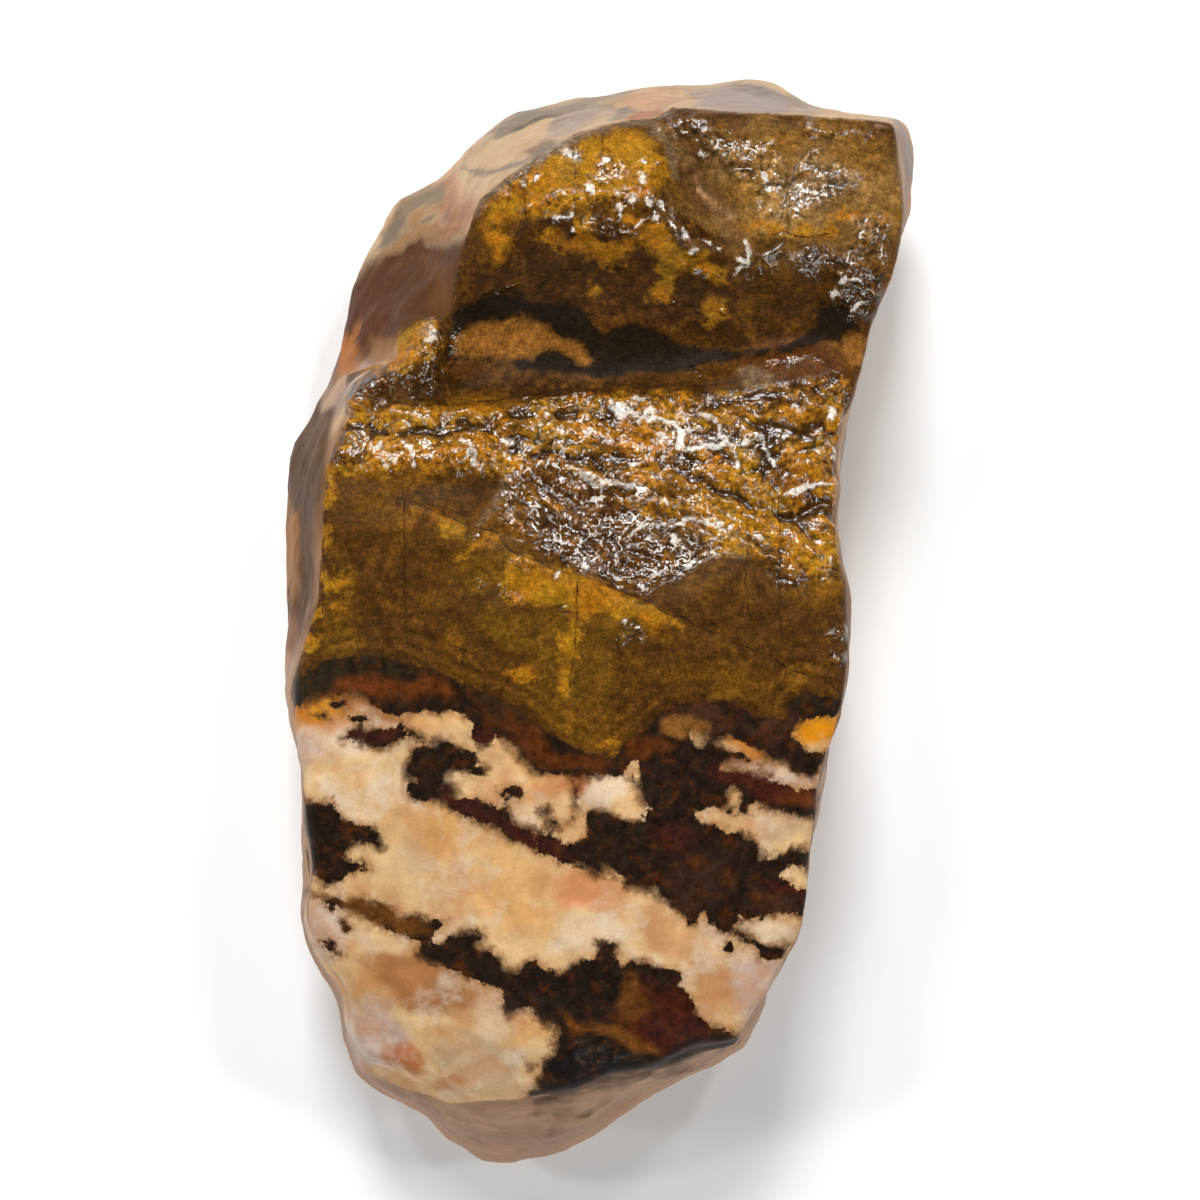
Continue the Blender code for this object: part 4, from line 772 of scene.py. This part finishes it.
SIDE_STREAKS = [  # outline, colour, strength, softness
    # the top end, behind the boss
    ([-30, 22, -14, 28, -12, 40, 3, 48, 30, 47, 33, 60, -20, 60, -40, 40], WALL_CREAM, 0.85, 0.8),
    ([-10.5, 47.6, -9, 48, -6, 48.7, -4, 48.8, -1, 49.4, 2, 49.8, 6, 51, 5, 54, -12, 54], WALL_GREY, 0.9,
     0.35),
    ([-9.6, 48, -5, 48.2, -5.5, 49.6, -9.5, 50], WALL_SMOKE, 0.9, 0.3),
    ([-5.5, 48.2, -2, 48.8, 2, 49.8, 2.4, 49.2, 0, 48.2, -2.5, 46.8, -5.5, 46.3], WALL_WHITE, 0.8, 0.5),
    ([-13.5, 43, -9, 45.5, -6, 46.4, -6, 45.2, -9, 44, -12.5, 42.8], WALL_PEACH, 0.25, 0.6),
    ([-14.8, 42.1, -12, 42.8, -10, 43.2, -8, 43.9, -6.5, 44.7, -4.8, 45.9, -4.5, 45.5, -6.5, 44.2, -8, 43.4,
     -10, 42.7, -12, 42.3], WALL_GREY, 0.9, 0.15),
    ([-7.5, 44.9, -5.5, 45.9, -3.8, 46, -5, 45, -6.6, 44.2], WALL_SMOKE, 0.7, 0.3),
    ([-19.5, 40.2, -16, 40.9, -12.3, 40.5, -12, 39.6, -15, 39.4, -18, 39.6], WALL_PEACH, 0.95, 0.3),
    ([-21.8, 38.6, -20.5, 39.6, -18, 39.4, -15, 38.9, -13.2, 38.6, -14.5, 37.8, -16, 37, -18, 36.3, -20, 36,
     -24, 35.2, -25, 38], WALL_SMOKE, 0.85, 0.4),
    ([-15.5, 39.6, -12.6, 39.9, -12.2, 38.4, -14, 36.8, -16, 36.4, -14.6, 38.2], WALL_SALMON, 0.75, 0.5),
    ([-22.5, 35.4, -20, 35.9, -17, 36.5, -14.5, 37.4, -13.6, 37, -15, 35.8, -17, 35, -19.5, 34,
     -23.5, 33.4], WALL_TAN, 0.75, 0.4),
    # the smooth cheek to the left of the boss
    ([-24.5, 33.6, -20, 34, -17, 35, -14, 36.2, -12.6, 37, -12, 30, -15, 27, -20, 26, -28, 22, -32, 26,
     -28, 33], WALL_UMBER, 0.97, 0.8),
    ([-18.6, 33.8, -17.5, 34.4, -16, 35, -15.4, 34.9, -17, 34, -18.2, 33.4], WALL_RED, 0.7, 0.25),
    ([-17, 33.5, -14.6, 34, -14, 29.5, -16.5, 29], WALL_TAN, 0.25, 1.2),
    ([-24, 31.5, -21, 31.5, -20, 27.5, -22, 24, -26, 24, -26, 29], WALL_RED, 0.6, 1),
    ([-25.8, 26.8, -24.4, 26.8, -23.8, 24.8, -24.6, 23.2, -26.8, 23.4], WALL_OCHRE, 0.85, 0.6),
    ([-22.5, 26.2, -20.4, 26.4, -20.4, 24, -23, 23.6], WALL_TAN, 0.8, 0.4),
    # the top end, behind the lobe
    ([2.5, 49.7, 4, 51.4, 9, 51.4, 10.5, 50, 7, 49.4, 4, 49.4], WALL_PEACH, 0.9, 0.4),
    ([2.6, 48.2, 4, 49.2, 6.2, 49, 6.2, 48.4, 3.4, 47.9], WALL_SALMON, 1, 0.2),
    ([0.6, 47.9, 2.2, 49.2, 3.8, 49.5, 6.6, 49.4, 6.6, 49, 4, 49.1, 2.2, 48.2], WALL_GREY, 0.9, 0.15),
    ([9.5, 49.2, 10.5, 51.2, 14, 51.5, 18, 51.8, 20.5, 50.2, 22, 48.8, 16, 48.6], WALL_WHITE, 0.9, 0.4),
    ([12, 50.6, 16, 50, 20, 49.9, 24, 48.9, 32, 48.4, 32, 54, 20.5, 52, 18.5, 50.8, 14, 51.2], WALL_GREY,
     0.75, 0.3),
    ([29.2, 48, 30.4, 48.4, 32, 46, 32.5, 43, 31, 41.5, 30.4, 43, 29.8, 46], WALL_WHITE, 0.8, 0.3),
    # the left edge
    ([-32.5, 19, -26.5, 19, -28.6, 8, -28.6, 0, -30.6, -6, -34, -6], WALL_BROWN, 0.95, 0.5),
    ([-33, 9.5, -30.6, 9.5, -30.1, 4, -30.4, -0.6, -33, -0.6], WALL_HONEY, 0.85, 0.5),
    ([-33, 2.5, -31.2, 2.5, -31, 1, -31.3, 0.2, -33, 0.2], SEPIA, 0.9, 0.2),
    ([-34, -1, -30.4, -1, -30.2, -4.5, -31.4, -7.5, -34, -7.5], WALL_SALMON, 0.6, 0.4),
]  # fmt: skip
upper = soft(points[:, 2] + 8.0 * grainy(points + 321.0, 9.0, 5), 4.0, 15.0)
low_down = soft(25.0 - points[:, 2], 0.0, 17.0)


def strayed(seen, fine_shift, broad_shift, reach):
    """Places that stray a little near the face and far lower down, so that the streaks blur there."""
    fine = 0.25 * grainy(points + fine_shift, 3.0, 3)
    return seen + fine + reach * low_down * grainy(points + broad_shift, 9.0, 5)


side_x = strayed(seen_x, 351.0, 361.0, 5.0)
side_y = strayed(seen_y, 381.0, 391.0, 6.0)
side_tint = painted(side_tint, SIDE_STREAKS, side_x, side_y, upper)
# The pale end's sides turn darker and pinker: partly the wall's own pink, partly painted shade and a painted
# pink reflection.
pale_side = soft(-seen_y + 7.0 * grainy(points + 301.0, 11.0, 4), 2.0, 20.0)[:, None]
shaded_pale_side_tint = pale_tint * 0.22 + PINK_WALL_SHADED * 0.58
side_tint = side_tint * (1 - 0.62 * pale_side) + shaded_pale_side_tint * 0.62 * pale_side
high_up = soft(points[:, 2] + 9.0 * grainy(points + 331.0, 5.0, 4), 15.0, 25.0)
shadow_run = soft(3.0 * grainy(points + 311.0, 3.0, 4) - pale, -0.5, 1.5) * high_up
shadow_run = (0.8 * shadow_run * soft(-seen_y, 11.0, 15.0))[:, None]
side_tint = side_tint * (1 - shadow_run) + 0.5 * (dark_tint + SEPIA) * shadow_run

# THE STONE'S FINISH
# Broken quartz, opaque and finely speckled in the jasper and waxy in the chalcedony. A film of water lies
# on its grainy places, where it glints on every grain. White painted glints, painted shade in the creases
# between the grains and painted light on their tops are laid into its colour.

WATER_FILM = 0.8
PALE_FILM = 0.006

wet = WATER_FILM * np.clip(1.25 * sugary - 0.02, 0, 1) * face_share
wet = np.maximum(wet, PALE_FILM * soft(-jasper, 0.0, 3.0) * face_share)

for name, values in [
    ("face", on_face), ("jasper", jasper), ("pale", pale), ("manganese", manganese), ("gold", gold),
    ("sugary", sugary), ("crack_side", crack_side), ("crack_near", crack_near), ("wet", wet),
    ("crevice", crevice), ("lumpy", lumpy), ("painted_glint_grain", np.maximum(painted_glint_grain, run_ridge_and_glint)),
]:  # fmt: skip
    rock_mesh.attributes.new(name, "FLOAT", "POINT").data.foreach_set("value", values.astype(np.float32))
for name, values in [
    ("jasper_tint", jasper_tint), ("pale_tint", pale_tint), ("dark_tint", dark_tint),
    ("side_tint", side_tint),
]:  # fmt: skip
    shades = np.concatenate([values, np.ones((len(values), 1))], 1)
    made = rock_mesh.attributes.new(name, "FLOAT_COLOR", "POINT")
    made.data.foreach_set("color", shades.astype(np.float32).ravel())
rock_mesh.vertices.foreach_set("co", (points * MM).astype(np.float32).ravel())
rock_mesh.shade_smooth()

finish = bpy.data.materials.new("wet_jasper")
finish.use_nodes = True
surface = finish.node_tree.nodes["Principled BSDF"]


def feed(socket, value):
    """Links a node's output to a socket, or sets the socket's value. A colour is made opaque."""
    if isinstance(value, bpy.types.NodeSocket):
        finish.node_tree.links.new(value, socket)
    elif isinstance(value, np.ndarray):
        socket.default_value = (*value.tolist(), 1.0)
    else:
        socket.default_value = value


def step(kind, *values, out=0, **settings):
    """A node of the finish, with values or other nodes' outputs for its inputs in order."""
    made = finish.node_tree.nodes.new("ShaderNode" + kind)
    for name, value in settings.items():
        if name in made.inputs:
            feed(made.inputs[name], value)
        else:
            setattr(made, name, value)
    for i, value in enumerate(values):
        if value is not None:
            feed(made.inputs[i], value)
    return made.outputs[out]


def sum_of(a, b):
    return step("Math", a, b, operation="ADD")


def times(a, b):
    return step("Math", a, b, operation="MULTIPLY")


def edge(value, low, high, bottom=0.0, top=1.0):
    return step("MapRange", value, low, high, bottom, top, interpolation_type="SMOOTHSTEP")


def ranged(value, low, high, bottom, top):
    return step("MapRange", value, low, high, bottom, top)


def measured(name):
    return step("Attribute", attribute_name=name, out=2)


def tinted(name):
    return step("Attribute", attribute_name=name)


def blend(share, under, over, how="MIX"):
    made = finish.node_tree.nodes.new("ShaderNodeMix")
    made.data_type = "RGBA"
    made.blend_type = how
    for i, value in [(0, share), (6, under), (7, over)]:
        feed(made.inputs[i], value)
    return made.outputs[2]


def laid_on(ground, *layers):
    """A ground with layers over it in turn. A layer is a share and a colour to paint, or else a strength, a
    field, two of its values, and how dark and how light it makes what is below it there."""
    for share, shade, *tones in layers:
        if tones:
            ground = blend(share, ground, ranged(shade, *tones), "MULTIPLY")
        else:
            ground = blend(share, ground, shade)
    return ground


in_mm = step("VectorMath", step("TexCoord", out=3), (1 / MM, 1 / MM, 1 / MM), operation="MULTIPLY")


def cloud(size, detail=4.0, rough=0.6, stretch=None, shift=0.0):
    """Noise from 0 to 1 with features of about that many millimetres."""
    place = in_mm
    if stretch:
        place = step("VectorMath", place, stretch, operation="MULTIPLY")
    if shift:
        place = step("VectorMath", place, (shift, shift, shift), operation="ADD")
    return step("TexNoise", place, Scale=1.0 / size, Detail=detail, Roughness=rough)


# how far the borders between the stones stray, in millimetres
ragged = ranged(cloud(1.5, 8.0, 0.68), 0.25, 0.75, -1.0, 1.0)
ragged = times(ragged, ranged(cloud(4.0, 2.0, shift=3.0), 0.35, 0.65, 0.45, 1.3))
ragged_fine = ranged(cloud(0.5, 5.0, 0.7, shift=40.0), 0.25, 0.75, -1.0, 1.0)
speckle = cloud(0.25, 3.0, 0.8)
mottle = cloud(1.1, 6.0, 0.7, shift=9.0)
patches = cloud(4.5, 5.0, 0.65, shift=21.0)
strata = cloud(0.7, 4.0, 0.65, stretch=(0.22, 1.0, 1.0), shift=55.0)
crumb = cloud(0.6, 2.0, 0.6, shift=77.0)
ripple = cloud(1.3, 1.0, 0.5, shift=33.0)
to_jasper = measured("jasper")
sugary_here = measured("sugary")
crevice_here = measured("crevice")

# the jasper, from its ground up to the painted shade and light on the grains and the painted glints
freckles = ranged(cloud(1.4, 6.0, 0.75, shift=31.0), 0.48, 0.66, 0.0, 0.55)
seam_waves = step("Math", sum_of(times(to_jasper, 4.6), times(mottle, 6.0)), operation="SINE")
near_seam = times(edge(to_jasper, 7.0, 1.5), 0.6)
gold_share = edge(sum_of(measured("gold"), times(ragged, 1.1)), -0.55, 0.45)
gold_shade = blend(ranged(mottle, 0.35, 0.65, 0.0, 1.0), GOLD, OCHRE)
gold_shade = blend(ranged(patches, 0.42, 0.6, 0.0, 0.6), gold_shade, AMBER)
# painted shade in the creases between the grains, darker where they are lumpy, and painted light on the grain
# tops
crease_shade = times(edge(crevice_here, 0.45, 0.05), ranged(measured("lumpy"), 0.1, 0.8, 0.0, 0.9))
grain_top_light = times(edge(crevice_here, 0.6, 1.0), ranged(sugary_here, 0.2, 0.9, 0.0, 0.45))
lit_grain_colour = blend(ranged(patches, 0.4, 0.6, 0.0, 1.0), AMBER, OCHRE * 1.2)
soot_share = edge(sum_of(measured("manganese"), times(ragged, 0.8)), -0.3, 0.4)
crumbs = ranged(sugary_here, 0.1, 0.7, 0.35, 1.0)
# painted glints: thin white lines along the ripples on the wettest grains, with white on the glint grains and
# the runs
painted_glint_lines = step("Math", sum_of(ripple, -0.5), operation="ABSOLUTE")
painted_glint_lines = times(edge(painted_glint_lines, 0.05, 0.012), edge(cloud(1.6, 3.0, 0.6, shift=61.0), 0.53, 0.6))
glint_paint = times(painted_glint_lines, ranged(sugary_here, 0.7, 0.95, 0.0, 0.72))
painted_glint_here = sum_of(measured("painted_glint_grain"), times(ragged_fine, 0.5))
glint_paint = sum_of(glint_paint, times(edge(painted_glint_here, 0.4, 1.0), edge(crumb, 0.27, 0.52, 0.25, 0.72)))
jasper_ground = laid_on(
    tinted("jasper_tint"),
    (ranged(mottle, 0.35, 0.65, 0.0, 0.6), UMBER),
    (ranged(patches, 0.55, 0.7, 0.0, 0.4), OCHRE),
    (0.75, strata, 0.3, 0.7, 0.75, 1.25),
    (freckles, FRECKLE_BROWN),
    (near_seam, seam_waves, -1.0, 1.0, 0.68, 1.32),
    (times(gold_share, ranged(mottle, 0.36, 0.56, 0.5, 1.0)), gold_shade),
    (0.9, cloud(1.9, 6.0, 0.75, shift=101.0), 0.3, 0.7, 0.5, 1.55),
    (crease_shade, DEEP_UMBER),
    (grain_top_light, lit_grain_colour),
    (times(soot_share, 0.93), SOOT),
    (crumbs, crumb, 0.35, 0.65, 0.35, 1.65),
    (0.85, speckle, 0.3, 0.7, 0.4, 1.6),
    (glint_paint, GLINT_WHITE),
)

# the dark branches and the pale chalcedony
dark_ground = laid_on(
    tinted("dark_tint"),
    (0.9, mottle, 0.3, 0.7, 0.3, 1.9),
    (ranged(cloud(1.6, 6.0, 0.7, shift=87.0), 0.52, 0.66, 0.0, 0.55), RUST_BROWN),
    (0.5, speckle, 0.3, 0.7, 0.5, 1.5),
)
pale_here = sum_of(measured("pale"), sum_of(times(ragged, 0.7), times(ragged_fine, 0.16)))
below_seam = edge(to_jasper, -2.5, -6.5)
peachy = ranged(cloud(5.0, 4.0, 0.6, shift=91.0), 0.46, 0.64, 0.0, 0.6)
pale_ground = laid_on(
    tinted("pale_tint"),
    (0.7, cloud(2.4, 5.0, 0.6, shift=70.0), 0.3, 0.7, 0.72, 1.22),
    (times(below_seam, ranged(patches, 0.5, 0.66, 0.0, 0.6)), MILKY),
    (times(below_seam, peachy), PEACH),
    (0.35, speckle, 0.3, 0.7, 0.65, 1.2),
    (times(edge(pale_here, 0.9, 0.05), ranged(mottle, 0.35, 0.6, 0.0, 0.8)), RUSTY_TAN),
)
blur = ranged(cloud(3.2, 2.0, shift=5.0), 0.42, 0.62, 0.1, 0.8)

# the whole face, with its cracks
crack_here = step("Math", measured("crack_side"), operation="ABSOLUTE")
crack_share = times(edge(crack_here, 0.14, 0.04), edge(measured("crack_near"), 0.4, 0.8))
face_shade = laid_on(
    dark_ground,
    (edge(pale_here, times(blur, -1.0), blur), pale_ground),
    (edge(sum_of(to_jasper, times(ragged, 0.5)), -0.3, 0.3), jasper_ground),
    (times(crack_share, ranged(mottle, 0.38, 0.6, 0.1, 0.85)), SEPIA),
)

# the sides and the back
saw_lines = cloud(0.5, 3.0, 0.7, (0.02, 1.0, 0.02), 44.0)
on_back = edge(step("SeparateXYZ", in_mm, out=2), 0.5, 0.2)
side_shade = laid_on(
    tinted("side_tint"),
    (0.5, patches, 0.3, 0.7, 0.75, 1.2),
    (0.42, cloud(0.9, 5.0, 0.7, (0.3, 0.3, 1.0), 63.0), 0.3, 0.7, 0.6, 1.35),
    (ranged(cloud(2.5, 6.0, 0.75, (0.5, 0.5, 1.0), 69.0), 0.54, 0.68, 0.0, 0.4), WALL_TAN),
    (times(on_back, 0.6), saw_lines, 0.35, 0.65, 0.8, 1.2),
    (0.3, speckle, 0.3, 0.7, 0.6, 1.3),
)
face_here = sum_of(measured("face"), times(ragged, 0.3))
feed(surface.inputs["Base Color"], blend(edge(face_here, -0.3, 0.25), side_shade, face_shade))

# dry quartz under a film of water
dullness = sum_of(times(mottle, 0.6), times(speckle, 0.4))
feed(surface.inputs["Roughness"], ranged(dullness, 0.3, 0.7, 0.38, 0.55))
feed(surface.inputs["Coat Weight"], measured("wet"))
for name, value in [
    ("IOR", 1.54), ("Specular IOR Level", 0.04), ("Coat Roughness", 0.05), ("Coat IOR", 1.65),
]:  # fmt: skip
    surface.inputs[name].default_value = value
pits = times(cloud(0.42, 2.0, 0.5, shift=15.0), ranged(to_jasper, -0.5, 1.5, 0.25, 1.0))
fine_bump = step("Bump", Strength=1.0, Distance=0.07 * MM, Height=pits)
beads = times(sum_of(ripple, times(crumb, 0.35)), ranged(sugary_here, 0.0, 1.0, 0.04, 1.0))
wet_bump = step("Bump", Strength=1.0, Distance=0.45 * MM, Normal=fine_bump, Height=beads)
feed(surface.inputs["Normal"], wet_bump)
feed(surface.inputs["Coat Normal"], wet_bump)

rock = bpy.data.objects.new("jasper_rock", rock_mesh)
bpy.context.scene.collection.objects.link(rock)
rock_mesh.materials.clear()
rock_mesh.materials.append(finish)
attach(rock, "root")
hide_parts("jasper_slab")

# THE FLOOR, THE LIGHTS AND THE CAMERA
# A white card under the rock, one window-like lamp above the boss end, small bright lamps all round and a
# dim room. The camera hangs straight above the broken face.

FLOOR_HALF = 4.0
WARM_AIR = (1.0, 0.9, 0.78, 1.0)
HORIZON_GLOW = 0.16
OVERHEAD_GLOW = 0.05
SMALL_LAMP = (0.08, 0.09)
LOW_LAMP = (0.12, 0.10)
SENSOR_WIDTH = 36.0
FOCAL_LENGTH = 78.0

floor_mesh = bpy.data.meshes.new("floor")
sheet = bmesh.new()
bmesh.ops.create_grid(sheet, x_segments=1, y_segments=1, size=FLOOR_HALF)
sheet.to_mesh(floor_mesh)
sheet.free()
floor = bpy.data.objects.new("floor", floor_mesh)
bpy.context.scene.collection.objects.link(floor)
card = bpy.data.materials.new("white_card")
card.use_nodes = True
for name, value in [("Base Color", (0.9, 0.9, 0.9, 1.0)), ("Roughness", 0.8)]:
    card.node_tree.nodes["Principled BSDF"].inputs[name].default_value = value
floor_mesh.materials.append(card)

room = bpy.data.worlds.new("room")
room.use_nodes = True
air = room.node_tree
height = air.nodes.new("ShaderNodeSeparateXYZ")
dimming = air.nodes.new("ShaderNodeMapRange")
for socket, value in zip(dimming.inputs[1:5], (0.0, HORIZON_GLOW, 0.6, OVERHEAD_GLOW)):
    socket.default_value = value
air.links.new(air.nodes.new("ShaderNodeTexCoord").outputs["Generated"], height.inputs[0])
air.links.new(height.outputs["Z"], dimming.inputs[0])
air.links.new(dimming.outputs[0], air.nodes["Background"].inputs["Strength"])
air.nodes["Background"].inputs["Color"].default_value = WARM_AIR
bpy.context.scene.world = room
bpy.context.scene.view_settings.view_transform = "Standard"

for name, place, size, power in [
    ("window_lamp", (-0.05, 0.56, 0.66), (0.20, 0.18), 5.4),
    ("window_left_lamp", (-0.30, 0.50, 0.66), SMALL_LAMP, 1.1),
    ("window_right_lamp", (0.30, 0.50, 0.66), SMALL_LAMP, 1.1),
    ("right_lamp", (0.55, 0.12, 0.66), SMALL_LAMP, 1.1),
    ("left_lamp", (-0.57, 0.20, 0.63), SMALL_LAMP, 1.1),
    ("near_lamp", (-0.08, -0.66, 0.56), SMALL_LAMP, 1.2),
    ("low_left_lamp", (-0.85, -0.1, 0.32), LOW_LAMP, 1.5),
    ("low_right_lamp", (0.85, -0.2, 0.32), LOW_LAMP, 1.5),
    ("low_near_lamp", (0.0, -0.9, 0.35), LOW_LAMP, 1.5),
]:  # fmt: skip
    lamp = bpy.data.lights.new(name, "AREA")
    lamp.shape = "RECTANGLE"
    lamp.size, lamp.size_y = size
    lamp.energy = power
    hung = bpy.data.objects.new(name, lamp)
    hung.location = place
    hung.rotation_euler = Vector(place).to_track_quat("Z", "Y").to_euler()
    bpy.context.scene.collection.objects.link(hung)

camera = bpy.data.objects.new("camera", bpy.data.cameras.new("camera"))
camera.location = [part * MM for part in EYE]
camera.data.sensor_width = SENSOR_WIDTH
camera.data.lens = FOCAL_LENGTH
bpy.context.scene.collection.objects.link(camera)
bpy.context.scene.camera = camera
